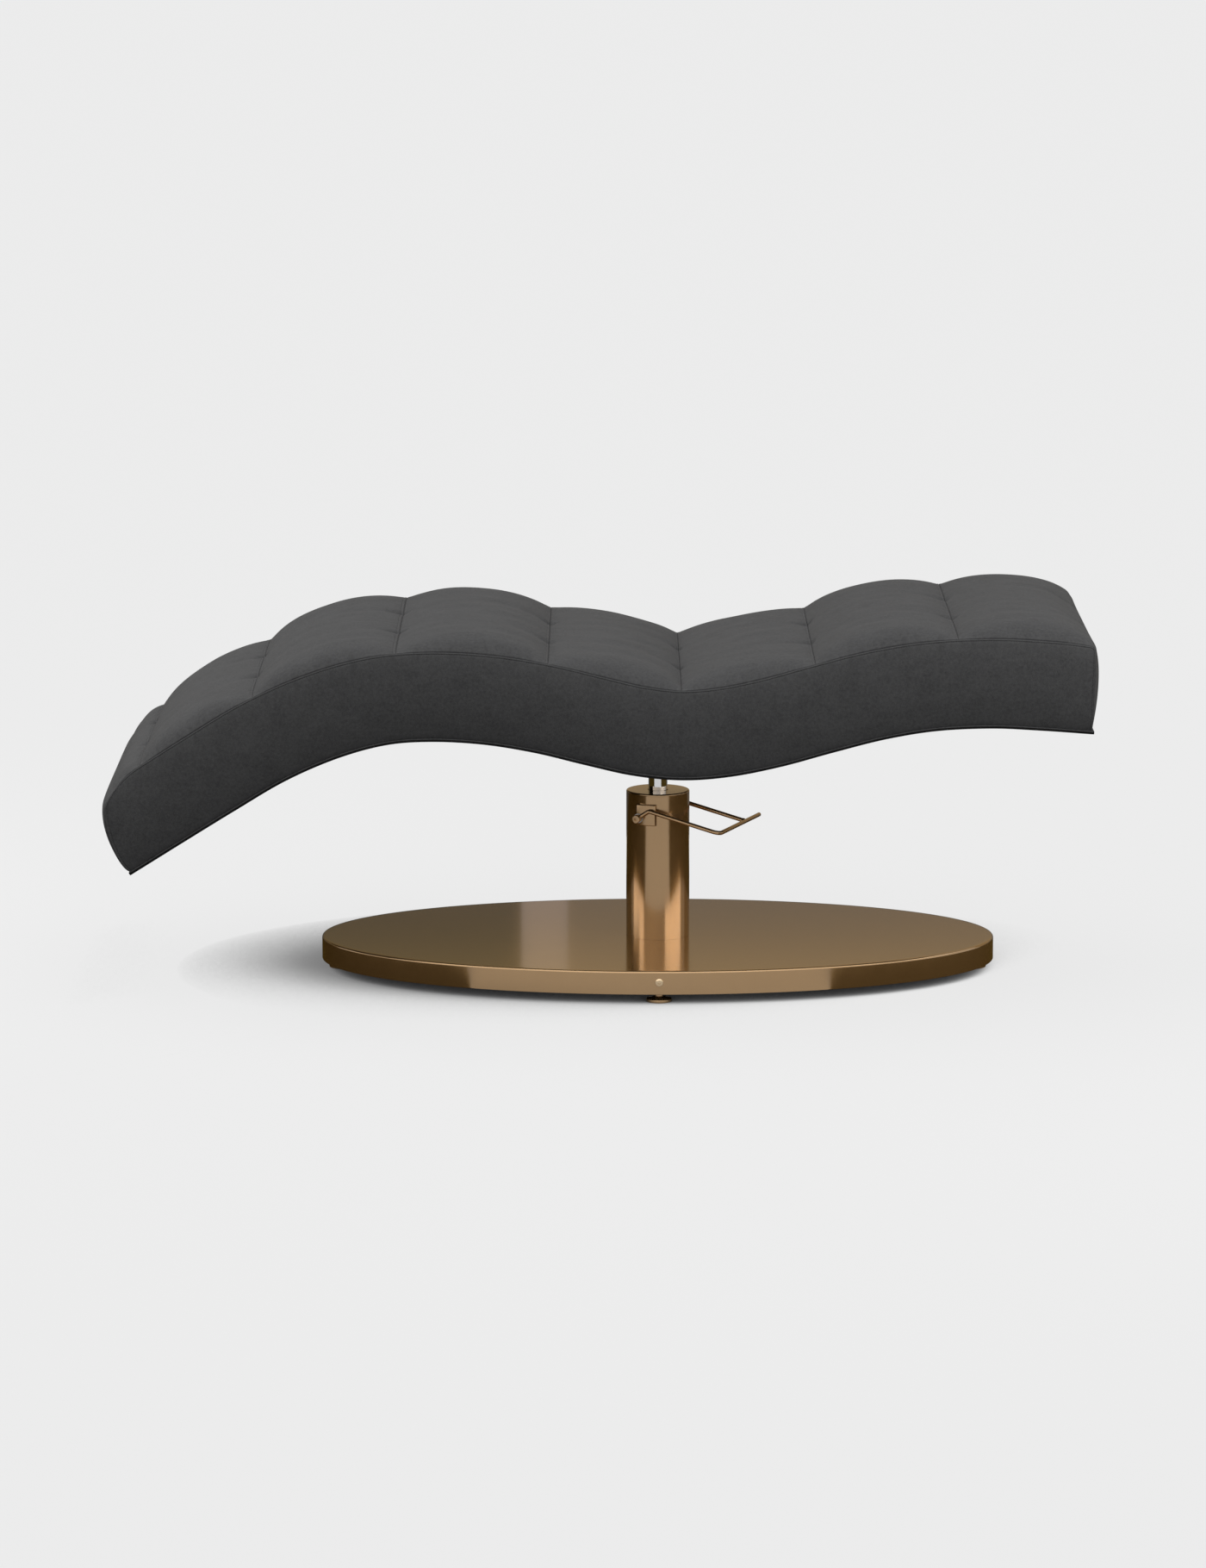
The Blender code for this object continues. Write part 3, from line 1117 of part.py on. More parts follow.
def make_seat(shop, line):
    """The seat plate, the block between it and the curved board, and the four bolts."""
    low = (SEAT_X - SEAT_PLATE_LENGTH / 2, -SEAT_PLATE_WIDTH / 2, SEAT_PLATE_BOTTOM)
    high = (SEAT_X + SEAT_PLATE_LENGTH / 2, SEAT_PLATE_WIDTH / 2, SEAT_PLATE_TOP)
    bm = bmesh.new()
    bm.from_mesh(box_mesh("seat_plate", low, high))
    uprights = [edge for edge in bm.edges if abs(edge.verts[0].co.z - edge.verts[1].co.z) > MERGE]
    bmesh.ops.bevel(bm, geom=uprights, offset=SEAT_PLATE_CORNER, offset_type="OFFSET", segments=3,
                    profile=0.5, affect="EDGES", material=-1)
    plate = shop.add("seat_plate", to_mesh(bm, "seat_plate"), "black_steel")
    block = shop.add("mount_block", block_mesh(line), "plywood")
    for number, point in enumerate(seat_bolt_places(), 1):
        name = f"seat_bolt_hole_{number}"
        bottom = SEAT_PLATE_BOTTOM - OVERRUN
        depth = SEAT_BOLT_LENGTH + OVERRUN + GAP
        mesh = cylinder_mesh(name, SEAT_BOLT / 2 + GAP, depth, BOLT_SIDES)
        drill = shop.add_cutter(name, mesh, shifted(point.x, point.y, bottom))
        boolean(plate, drill, "DIFFERENCE")
        boolean(block, drill, "DIFFERENCE")
        place = shifted(point.x, point.y, SEAT_PLATE_BOTTOM - GAP) @ Matrix.Rotation(math.pi, 4, "X")
        hex_bolt(shop, f"seat_bolt_{number}", "steel", SEAT_BOLT, SEAT_BOLT_HEAD, SEAT_BOLT_HEAD_HEIGHT,
                 SEAT_BOLT_LENGTH, place)


def block_mesh(line):
    """The wooden block: flat on the seat plate and curved to the board above it."""
    half_width = SEAT_PLATE_WIDTH / 2 + BLOCK_MARGIN
    half_length = SEAT_PLATE_LENGTH / 2 + BLOCK_MARGIN
    bottom = SEAT_PLATE_TOP + GAP
    start, end = line.distance_at(SEAT_X - half_length), line.distance_at(SEAT_X + half_length)

    def place(u, v, w):
        top = line.place(start + (end - start) * u, 0, -GAP)
        return Vector((top.x, half_width * (2 * v - 1), bottom + (top.z - bottom) * w))

    return lattice_mesh("mount_block", (line.cuts_between(start, end), (), ()), place)


def main():
    """Build the whole bed: what stands still first, then what each joint carries."""
    clear_scene()
    shop = Workshop()
    line = BedLine()
    make_base_cover(shop)
    make_base_plate(shop)
    make_rim_fixing(shop)
    make_foot_nuts(shop)
    make_pump(shop)
    make_column(shop)
    make_bosses(shop)
    make_feet(shop)
    shop.carry_on("height_lift_axis", Vector((COLUMN_X, 0, CAP_TOP)))
    make_ram(shop)
    make_thrust_washer(shop)
    shop.carry_on("bed_swivel_axis", Vector((COLUMN_X, 0, RAM_SHOULDER)))
    make_hub(shop)
    make_seat(shop, line)
    make_board(shop, line)
    make_bed_frame(shop, line)
    make_cushion(shop, line)
    shop.carry_on("pump_lever_axis", column_point(PIVOT_ALONG, 0, PIVOT_Z))
    make_lever(shop)
    make_cam(shop)
    shop.carry_on("pump_plunger_axis", plunger_point())
    make_plunger(shop)


main()
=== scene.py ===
"""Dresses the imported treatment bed: fine metalwork, the upholstered wave, its stitching, the studio and the camera."""
import logging
import math
from collections.abc import Sequence
from dataclasses import dataclass, field
from enum import Enum

import bmesh
import bpy
import numpy as np
from mathutils import Matrix, Vector


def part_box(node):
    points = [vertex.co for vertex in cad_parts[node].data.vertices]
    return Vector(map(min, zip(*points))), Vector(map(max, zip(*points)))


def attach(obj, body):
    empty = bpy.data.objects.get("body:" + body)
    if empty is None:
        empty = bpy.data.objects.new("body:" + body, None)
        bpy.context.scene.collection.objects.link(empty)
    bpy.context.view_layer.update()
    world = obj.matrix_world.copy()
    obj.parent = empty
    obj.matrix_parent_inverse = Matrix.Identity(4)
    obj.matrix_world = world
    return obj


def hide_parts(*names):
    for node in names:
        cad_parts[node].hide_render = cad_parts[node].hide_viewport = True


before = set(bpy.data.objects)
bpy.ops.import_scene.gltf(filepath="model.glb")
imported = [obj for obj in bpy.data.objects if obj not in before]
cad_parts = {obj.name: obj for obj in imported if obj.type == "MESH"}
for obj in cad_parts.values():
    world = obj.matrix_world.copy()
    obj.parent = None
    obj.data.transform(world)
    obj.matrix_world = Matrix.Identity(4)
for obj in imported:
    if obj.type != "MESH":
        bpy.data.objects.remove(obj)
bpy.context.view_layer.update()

Mesh = bmesh.types.BMesh
Socket = bpy.types.NodeSocket
Pair = tuple[float, float]
Triple = tuple[float, float, float]
Marks = list[float]
Array = np.ndarray

LOG = logging.getLogger("treatment_bed")
MERGE = 0.00001
GAP = 0.0003
CENTRE_X = 0.109
YAW = math.radians(21.5)
ARM = Vector((math.cos(YAW), -math.sin(YAW), 0))
FACE = Vector((-math.sin(YAW), -math.cos(YAW), 0))
PIVOT_ALONG, PIVOT_Z = -0.014, 0.298
NEAR_AND_FAR = (("near", 1), ("far", -1))


class Body(Enum):
    """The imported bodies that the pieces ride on."""

    BASE = "base"
    RAM = "ram"
    BED = "bed"
    LEVER = "lever"
    FOOT_FRONT = "levelling_foot_front"
    FOOT_BACK = "levelling_foot_back"
    FOOT_LEFT = "levelling_foot_left"
    FOOT_RIGHT = "levelling_foot_right"


class Slot(Enum):
    """The record's material slots."""

    BRONZE = "bronze"
    CHROME = "chrome"
    STEEL = "steel"
    BLACK_STEEL = "black_steel"
    RUBBER = "rubber"
    BEARING = "bearing_bronze"
    UPHOLSTERY = "upholstery"
    BOARD = "board"
    PLYWOOD = "plywood"


class Shade(Enum):
    """The angle in degrees up to which faces are shaded as one: all smooth, or with the corners kept."""

    SMOOTH = 180
    CORNERS = 32


# ---- finishes


class Nodes:
    """A material's or a world's node tree, with short ways to add and join its nodes."""

    def __init__(self, holder: bpy.types.Material | bpy.types.World) -> None:
        """Take up the nodes that a new material or world starts with."""
        holder.use_nodes = True
        self.holder, self.tree = holder, holder.node_tree

    def feed(self, socket: Socket, value: Socket | float | Triple) -> None:
        """Link a socket to another one, or set its own value.

        Args:
            socket: the socket that takes it.
            value: a socket, a number or a colour of three numbers.
        """
        if isinstance(value, Socket):
            self.tree.links.new(value, socket)
        else:
            socket.default_value = (*value, 1) if socket.type == "RGBA" else value

    def node(self, kind: str, inputs: dict, output: str | int = 0, **settings: str | int) -> Socket:
        """Add a node.

        Args:
            kind: its type, without ShaderNode in front.
            inputs: what each of its inputs is linked or set to.
            output: the output that is wanted.
            settings: the values of its own settings.

        Returns:
            That output's socket.
        """
        node = self.tree.nodes.new(f"ShaderNode{kind}")
        for name, value in settings.items():
            setattr(node, name, value)
        for key, value in inputs.items():
            self.feed(node.inputs[key], value)
        return node.outputs[output]

    def surface(self, **values: Socket | float | Triple) -> None:
        """Link or set the Principled shader's sockets, named with underscores for spaces."""
        for name, value in values.items():
            self.feed(self.tree.nodes["Principled BSDF"].inputs[name.replace("_", " ")], value)

    def place(self, scale: Triple = (1, 1, 1)) -> Socket:
        """Object coordinates, each axis multiplied by a scale."""
        return self.node("Mapping", {"Vector": self.node("TexCoord", {}, "Object"), "Scale": scale})

    def noise(self, place: Socket, scale: float, detail: float = 3, roughness: float = 0.5) -> Socket:
        """A cloudy pattern from 0 to 1: so many clouds to a metre, with finer layers of some strength."""
        return self.node("TexNoise", {"Vector": place, "Scale": scale, "Detail": detail, "Roughness": roughness},
                         "Fac")

    def attribute(self, name: str) -> Socket:
        """A number that the mesh holds at each of its points."""
        return self.node("Attribute", {}, "Fac", attribute_name=name)

    def spread(self, value: Socket, low: float, high: float, start: float = 0.0, end: float = 1.0) -> Socket:
        """Carry the range from low to high to the one from start to end."""
        return self.node("MapRange", {"Value": value, "From Min": low, "From Max": high, "To Min": start,
                                      "To Max": end}, "Result")

    def blend(self, share: Socket, one: Socket | Triple, two: Socket | Triple) -> Socket:
        """Mix two colours, by a share of 0 for the first and 1 for the second."""
        return self.node("Mix", {"Factor": share, 6: one, 7: two}, 2, data_type="RGBA")

    def work_out(self, operation: str, one: Socket, two: Socket | float) -> Socket:
        """Two values' product, sum or greater one."""
        return self.node("Math", {0: one, 1: two}, operation=operation)

    def multiply(self, one: Socket, two: Socket | float) -> Socket:
        """The product of two values."""
        return self.work_out("MULTIPLY", one, two)

    def add(self, one: Socket, two: Socket | float) -> Socket:
        """The sum of two values."""
        return self.work_out("ADD", one, two)

    def relief(self, height: Socket, strength: float, distance: float) -> None:
        """Let a pattern bend the shader's normal, by a share of a depth in metres."""
        self.surface(Normal=self.node("Bump", {"Height": height, "Strength": strength, "Distance": distance}))

    def seen(self) -> Socket:
        """Tell the rays that show the studio from those that light it.

        Returns:
            The socket that holds 1 for camera, glossy and transmission rays, and 0 for the others.
        """
        rays = self.node("LightPath", {}).node.outputs
        shown = self.work_out("MAXIMUM", rays["Is Camera Ray"], rays["Is Glossy Ray"])
        return self.work_out("MAXIMUM", shown, rays["Is Transmission Ray"])


@dataclass(frozen=True)
class Finish:
    """What a piece is finished in, and the record's slot for it."""

    name: str
    slot: Slot

    def make(self) -> bpy.types.Material:
        """Make the finish's material.

        Returns:
            The material.
        """
        n = Nodes(bpy.data.materials.new(self.name))
        self.dress(n)
        return n.holder

    def dress(self, n: Nodes) -> None:
        """Lay the finish's nodes.

        Args:
            n: the material's nodes.
        """
        raise NotImplementedError


@dataclass(frozen=True)
class Nubuck(Finish):
    """The charcoal hide: soft nap, cloudy shade, fine pores, paler on its edges, and painted shade darkening the
    grooves of its seams.
    """

    name: str = "charcoal_nubuck"
    slot: Slot = Slot.UPHOLSTERY
    shade: Triple = (0.073, 0.073, 0.074)
    dark: Triple = (0.048, 0.048, 0.049)
    pale: Triple = (0.130, 0.130, 0.130)
    # The colour that the painted shade in the seam grooves darkens the hide toward.
    groove_shade: Triple = (0.018, 0.018, 0.019)

    def dress(self, n: Nodes) -> None:
        """Lay clouds and mottle, then the brushed nap, the fibres, the rubbed edges, the painted shade in the seam
        grooves and the pores.

        Args:
            n: the material's nodes.
        """
        plain = n.place()
        clouds = n.noise(plain, 24, 5, 0.66)
        mottle = n.noise(plain, 190, 4, 0.70)
        nap = n.noise(n.place((14, 70, 70)), 1.0, 4, 0.6)
        fibre = n.noise(n.place((1, 1.5, 1.5)), 560, 3, 0.72)
        uneven = n.add(n.multiply(clouds, 0.36), n.multiply(mottle, 0.64))
        hide = n.blend(n.spread(uneven, 0.37, 0.61), self.dark, self.shade)
        for share in (n.multiply(n.spread(nap, 0.5, 0.8), 0.12), n.multiply(n.spread(fibre, 0.42, 0.78), 0.36),
                      n.multiply(n.attribute("wear"), n.spread(fibre, 0.2, 0.8, 0.25, 0.6))):
            hide = n.blend(share, hide, self.pale)
        # Painted shade: the hide is darkened toward a near-black where the seams draw it into grooves.
        n.surface(Base_Color=n.blend(n.attribute("groove_shade"), hide, self.groove_shade),
                  Roughness=n.spread(clouds, 0.3, 0.7, 0.70, 0.85), Specular_IOR_Level=0.05,
                  Sheen_Weight=0.035, Sheen_Roughness=0.45, Sheen_Tint=(0.8, 0.8, 0.82))
        pores = n.node("TexVoronoi", {"Vector": plain, "Scale": 780}, "Distance")
        n.relief(n.add(n.add(fibre, n.multiply(pores, 0.5)), n.multiply(mottle, 0.9)), 0.34, 0.0008)


@dataclass(frozen=True)
class SatinMetal(Finish):
    """A metal with a satin face: cloudy gloss, fine lines from polishing and a clear lacquer where it has one."""

    shade: Triple
    worn: Triple
    gloss: Pair
    lacquer: float = 0.0
    body: float = 1.0
    edge: Triple = (1.0, 1.0, 1.0)
    lines: Triple = (60, 60, 1500)
    depth: float = 0.00002

    def dress(self, n: Nodes) -> None:
        """Lay the cloudy colour and gloss, the polishing lines and the lacquer.

        Args:
            n: the material's nodes.
        """
        clouds = n.noise(n.place(), 22, 4, 0.6)
        lines = n.noise(n.place(self.lines), 1.0, 3, 0.6)
        shine = n.add(n.spread(clouds, 0.3, 0.7, *self.gloss), n.spread(lines, 0.3, 0.7, -0.008, 0.012))
        n.surface(Base_Color=n.blend(n.multiply(n.spread(clouds, 0.4, 0.75), 0.5), self.shade, self.worn),
                  Roughness=shine, Metallic=self.body, Specular_Tint=self.edge)
        if self.lacquer:
            n.surface(Coat_Weight=self.lacquer, Coat_Roughness=0.10, Coat_IOR=1.7)
        n.relief(lines, 0.15, self.depth)


@dataclass(frozen=True)
class Painted(Finish):
    """A paint, rubber or lacquered board: fine orange peel, dust and a cloudy gloss."""

    shade: Triple
    dust: Triple
    gloss: Pair
    grain: float = 700
    depth: float = 0.0001
    mirror: float = 0.5

    def dress(self, n: Nodes) -> None:
        """Lay the dusty colour, the cloudy gloss and the orange peel.

        Args:
            n: the material's nodes.
        """
        clouds = n.noise(n.place(), 26, 4, 0.6)
        n.surface(Base_Color=n.blend(n.multiply(n.spread(clouds, 0.45, 0.8), 0.5), self.shade, self.dust),
                  Roughness=n.spread(clouds, 0.3, 0.7, *self.gloss), Specular_IOR_Level=self.mirror)
        n.relief(n.noise(n.place(), self.grain, 2, 0.5), 0.3, self.depth)


@dataclass(frozen=True)
class Ply(Finish):
    """Raw plywood: long grain along the bed, with paler and darker bands."""

    name: str = "raw_plywood"
    slot: Slot = Slot.PLYWOOD
    pale: Triple = (0.52, 0.37, 0.22)
    dark: Triple = (0.33, 0.20, 0.10)

    def dress(self, n: Nodes) -> None:
        """Lay the grain.

        Args:
            n: the material's nodes.
        """
        grain = n.noise(n.place((3, 90, 160)), 1.0, 6, 0.65)
        n.surface(Base_Color=n.blend(n.spread(grain, 0.35, 0.7), self.pale, self.dark),
                  Roughness=n.spread(grain, 0.3, 0.7, 0.55, 0.75))
        n.relief(grain, 0.3, 0.0003)


@dataclass(frozen=True)
class Thread(Finish):
    """The bonded sewing thread: twisted strands, a little glossier than the hide."""

    name: str = "sewing_thread"
    slot: Slot = Slot.UPHOLSTERY
    shade: Triple = (0.030, 0.030, 0.031)
    pale: Triple = (0.075, 0.075, 0.078)

    def dress(self, n: Nodes) -> None:
        """Lay the strands.

        Args:
            n: the material's nodes.
        """
        strands = n.noise(n.place((2200, 2200, 2200)), 1.0, 1, 0.5)
        n.surface(Base_Color=n.blend(n.spread(strands, 0.35, 0.65), self.shade, self.pale), Roughness=0.5,
                  Sheen_Weight=0.1)
        n.relief(strands, 0.4, 0.0001)


BRONZE = SatinMetal("satin_bronze", Slot.BRONZE, (0.345, 0.205, 0.085), (0.370, 0.222, 0.095), (0.165, 0.205),
                    lacquer=0.75, body=0.76, edge=(0.80, 0.60, 0.30), lines=(500, 500, 40), depth=0.000002)
SCREW_BRONZE = SatinMetal("bright_screw_bronze", Slot.BRONZE, (0.50, 0.38, 0.24), (0.56, 0.43, 0.28), (0.16, 0.22),
                          depth=0.000005)
CHROME = SatinMetal("polished_chrome", Slot.CHROME, (0.66, 0.66, 0.67), (0.70, 0.70, 0.71), (0.05, 0.09),
                    depth=0.000005)
STEEL = SatinMetal("zinc_plated_steel", Slot.STEEL, (0.36, 0.36, 0.37), (0.44, 0.43, 0.41), (0.32, 0.46))
BEARING = SatinMetal("bearing_bronze", Slot.BEARING, (0.46, 0.30, 0.12), (0.40, 0.25, 0.09), (0.26, 0.38))
BLACK = Painted("black_powder_coat", Slot.BLACK_STEEL, (0.018, 0.018, 0.019), (0.030, 0.029, 0.028), (0.42, 0.56))
RUBBER = Painted("black_rubber", Slot.RUBBER, (0.016, 0.016, 0.016), (0.028, 0.027, 0.026), (0.68, 0.82), grain=1100)
BOARD = Painted("black_board", Slot.BOARD, (0.006, 0.006, 0.006), (0.014, 0.013, 0.012), (0.62, 0.78), grain=380,
                mirror=0.12)


# ---- ways of making meshes


def hardened(name: str, bm: Mesh) -> bpy.types.Mesh:
    """Turn a bmesh, which is used up, into a mesh.

    Args:
        name: the mesh's name.
        bm: the bmesh.

    Returns:
        The mesh.
    """
    mesh = bpy.data.meshes.new(name)
    bm.to_mesh(mesh)
    bm.free()
    return mesh


def placed(name: str, data: bpy.types.ID) -> bpy.types.Object:
    """Put a new object of a mesh, lamp or camera in the scene.

    Args:
        name: the object's name.
        data: the mesh, lamp or camera.

    Returns:
        The object.
    """
    thing = bpy.data.objects.new(name, data)
    bpy.context.scene.collection.objects.link(thing)
    return thing


def points_of(mesh: bpy.types.Mesh, what: str = "co") -> Array:
    """Read the places of a mesh's points, or their normals.

    Args:
        mesh: the mesh.
        what: co for the places, or normal.

    Returns:
        One row for each point.
    """
    values = np.zeros(len(mesh.vertices) * 3, np.float32)
    mesh.vertices.foreach_get(what, values)
    return values.reshape(-1, 3)


def move_points(thing: Mesh | bpy.types.Mesh, places: Array) -> None:
    """Put each point of a bmesh or a mesh in its new place.

    Args:
        thing: the bmesh or mesh.
        places: one row for each point.
    """
    if isinstance(thing, Mesh):
        for vert, spot in zip(thing.verts, places):
            vert.co = spot
    else:
        thing.vertices.foreach_set("co", places.astype(np.float32).ravel())
        thing.update()


def outwards(bm: Mesh) -> Mesh:
    """Close a mesh's doubles and turn its faces out.

    Args:
        bm: the mesh.

    Returns:
        The same mesh.
    """
    bmesh.ops.remove_doubles(bm, verts=bm.verts, dist=MERGE)
    bmesh.ops.recalc_face_normals(bm, faces=bm.faces)
    return bm


def shifted(x: float, y: float, z: float) -> Matrix:
    """A matrix that moves by x, y and z."""
    return Matrix.Translation((x, y, z))


def bevelled(bm: Mesh, edges: Sequence[bmesh.types.BMEdge], radius: float, segments: int) -> Mesh:
    """Round some of a mesh's edges.

    Args:
        bm: the mesh.
        edges: the edges.
        radius: their radius.
        segments: how many facets each has.

    Returns:
        The same mesh.
    """
    bmesh.ops.bevel(bm, geom=edges, offset=radius, offset_type="OFFSET", segments=segments, profile=0.5,
                    affect="EDGES", material=-1)
    return bm


def spun(profile: Sequence[Pair], sides: int, place: Matrix, closed: bool = False) -> Mesh:
    """A turned shape about its own Z axis.

    Args:
        profile: reach and height of each point of its outline.
        sides: how many sides it has.
        place: where it stands.
        closed: whether the outline's last point joins its first, as in a ring.

    Returns:
        The mesh.
    """
    bm = bmesh.new()
    verts = [bm.verts.new((reach, 0, height)) for reach, height in profile]
    pairs = list(zip(verts, verts[1:])) + ([(verts[-1], verts[0])] if closed else [])
    edges = [bm.edges.new(pair) for pair in pairs]
    bmesh.ops.spin(bm, geom=verts + edges, cent=(0, 0, 0), axis=(0, 0, 1), angle=math.tau, steps=sides,
                   use_merge=True)
    outwards(bm)
    bm.transform(place)
    return bm


def arc(centre: Pair, radius: float, start: float, end: float, steps: int) -> list[Pair]:
    """The points of an arc in a profile, from one angle in degrees to another."""
    angles = [math.radians(start + (end - start) * step / steps) for step in range(steps + 1)]
    return [(centre[0] + radius * math.cos(a), centre[1] + radius * math.sin(a)) for a in angles]


def block(low: Triple, high: Triple, place: Matrix, edge: float = 0.0) -> Mesh:
    """A block between two corners, with its edges rounded.

    Args:
        low: its lowest corner.
        high: its highest corner.
        place: how it is turned and where it stands.
        edge: the radius of its edges.

    Returns:
        The mesh.
    """
    bm = bmesh.new()
    bmesh.ops.create_cube(bm, size=1)
    size = Vector(high) - Vector(low)
    bmesh.ops.scale(bm, vec=size, verts=bm.verts)
    bmesh.ops.translate(bm, vec=Vector(low) + size / 2, verts=bm.verts)
    if edge:
        bevelled(bm, bm.edges[:], edge, 3)
    bm.transform(place)
    return bm


def hexagon(reach: float, depth: float, place: Matrix) -> Mesh:
    """A hexagonal bar, as it cuts a screw's socket.

    Args:
        reach: how far its corners are from its axis.
        depth: its length.
        place: where it stands.

    Returns:
        The mesh.
    """
    bm = bmesh.new()
    bmesh.ops.create_cone(bm, cap_ends=True, segments=6, radius1=reach, radius2=reach, depth=depth, matrix=place)
    return bm


def drill(radius: float, reach: float, place: Matrix) -> Mesh:
    """A round bar that reaches as far to both sides of its place, as it drills a hole."""
    return spun([(radius, -reach), (radius, reach), (0, reach), (0, -reach)], 40, place)


def cut_cube(counts: Sequence[int]) -> Mesh:
    """A unit cube from the origin, cut into so many strips along, across and up.

    Args:
        counts: how many strips it has each way.

    Returns:
        The mesh.
    """
    bm = bmesh.new()
    bmesh.ops.create_cube(bm, size=1)
    bmesh.ops.translate(bm, vec=(0.5, 0.5, 0.5), verts=bm.verts)
    for axis, count in enumerate(counts):
        if count > 1:
            edges = [edge for edge in bm.edges if abs(edge.verts[0].co[axis] - edge.verts[1].co[axis]) > 0.5]
            bmesh.ops.subdivide_edges(bm, edges=edges, cuts=count - 1, use_grid_fill=True)
    return bm


def rounded_path(corners: Sequence[Vector], radii: Sequence[float], steps: int = 14) -> list[Vector]:
    """The points of a path whose inner corners are arcs.

    Args:
        corners: the path's ends and corners.
        radii: the radius of each inner corner.
        steps: how many runs each arc has.

    Returns:
        The points.
    """
    points = [corners[0]]
    for before, corner, after, radius in zip(corners, corners[1:], corners[2:], radii):
        one, two = (before - corner).normalized(), (after - corner).normalized()
        half = one.angle(two) / 2
        middle = corner + (one + two).normalized() * (radius / math.sin(half))
        start, end = (corner + way * (radius / math.tan(half)) - middle for way in (one, two))
        sweep = start.angle(end)
        for step in range(steps + 1):
            t = step / steps
            swung = start * math.sin((1 - t) * sweep) + end * math.sin(t * sweep)
            points.append(middle + swung / math.sin(sweep))
    return [*points, corners[-1]]


def swept(points: Sequence[Vector], radii: Sequence[float], sides: int) -> Mesh:
    """A round bar along a path, made by drawing a ring along it.

    Args:
        points: the path.
        radii: the bar's radius at each point.
        sides: how many sides it has.

    Returns:
        The closed mesh.
    """
    bm = bmesh.new()
    ring = bmesh.ops.create_circle(bm, cap_ends=False, segments=sides, radius=1)["verts"]
    edges = list({edge for vert in ring for edge in vert.link_edges})
    along = (points[1] - points[0]).normalized()
    turn = Vector((0, 0, 1)).rotation_difference(along).to_matrix()
    shape = [turn @ vert.co for vert in ring]
    for vert, spoke in zip(ring, shape):
        vert.co = points[0] + spoke * radii[0]
    bmesh.ops.contextual_create(bm, geom=edges)
    for index in range(1, len(points)):
        after = points[min(index + 1, len(points) - 1)]
        ahead = (after - points[index - 1]).normalized()
        swing = along.rotation_difference(ahead).to_matrix()
        shape = [swing @ spoke for spoke in shape]
        along = ahead
        drawn = bmesh.ops.extrude_edge_only(bm, edges=edges)["geom"]
        new = [item for item in drawn if isinstance(item, bmesh.types.BMVert)]
        edges = [item for item in drawn if isinstance(item, bmesh.types.BMEdge)]
        ring = [next(edge.other_vert(vert) for edge in vert.link_edges if edge.other_vert(vert) in new)
                for vert in ring]
        for vert, spoke in zip(ring, shape):
            vert.co = points[index] + spoke * radii[index]
    bmesh.ops.contextual_create(bm, geom=edges)
    return outwards(bm)


def cut(bm: Mesh, tools: Sequence[Mesh], operation: str = "DIFFERENCE") -> Mesh:
    """Cut tools from a mesh, or weld them to it.

    Args:
        bm: the mesh, which is used up.
        tools: the meshes that cut it, which are used up.
        operation: DIFFERENCE or UNION.

    Returns:
        The new mesh.
    """
    helpers = [placed("cut", hardened("cut", source)) for source in (bm, *tools)]
    for helper in helpers[1:]:
        modifier = helpers[0].modifiers.new("cut", "BOOLEAN")
        modifier.operation, modifier.solver, modifier.object = operation, "EXACT", helper
    graph = bpy.context.evaluated_depsgraph_get()
    made = bmesh.new()
    made.from_mesh(bpy.data.meshes.new_from_object(helpers[0].evaluated_get(graph)))
    for helper in helpers:
        bpy.data.objects.remove(helper, do_unlink=True)
    return made


# ---- the bench that pieces are kept on


class Bench:
    """Where the pieces are finished: it keeps one material of each finish and ties each piece to its body."""

    def __init__(self) -> None:
        """Start with no materials made."""
        self.made: dict[str, bpy.types.Material] = {}

    def material(self, finish: Finish) -> bpy.types.Material:
        """Make a finish's material, or find it where it is made.

        Args:
            finish: the finish.

        Returns:
            The material.
        """
        if finish.name not in self.made:
            self.made[finish.name] = finish.make()
        return self.made[finish.name]

    def set_down(self, name: str, bm: Mesh, finish: Finish, body: Body, *replaces: str,
                 shade: Shade = Shade.CORNERS) -> bpy.types.Object:
        """Make a finished piece of a mesh.

        Args:
            name: the piece's name.
            bm: its mesh, which is used up.
            finish: what it is finished in.
            body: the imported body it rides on.
            replaces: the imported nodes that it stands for.
            shade: how its faces are shaded.

        Returns:
            The piece's object.
        """
        mesh = hardened(name, bm)
        mesh.materials.append(self.material(finish))
        mesh.shade_smooth()
        if shade is Shade.CORNERS:
            mesh.set_sharp_from_angle(angle=math.radians(shade.value))
        piece = placed(name, mesh)
        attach(piece, body.value)
        if replaces:
            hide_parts(*replaces)
        LOG.info("%s: %d faces on %s", name, len(mesh.polygons), body.value)
        return piece

    def keep(self, finish: Finish, *names: str, **counted: int) -> None:
        """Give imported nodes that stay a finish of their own.

        Args:
            finish: what they are finished in.
            names: the nodes.
            counted: how many there are of those that end in a number.
        """
        numbered = [f"{name}_{number}" for name, count in counted.items() for number in range(1, count + 1)]
        for name in (*names, *numbered):
            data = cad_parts[name].data
            data.materials.clear()
            data.materials.append(self.material(finish))


# ---- the base


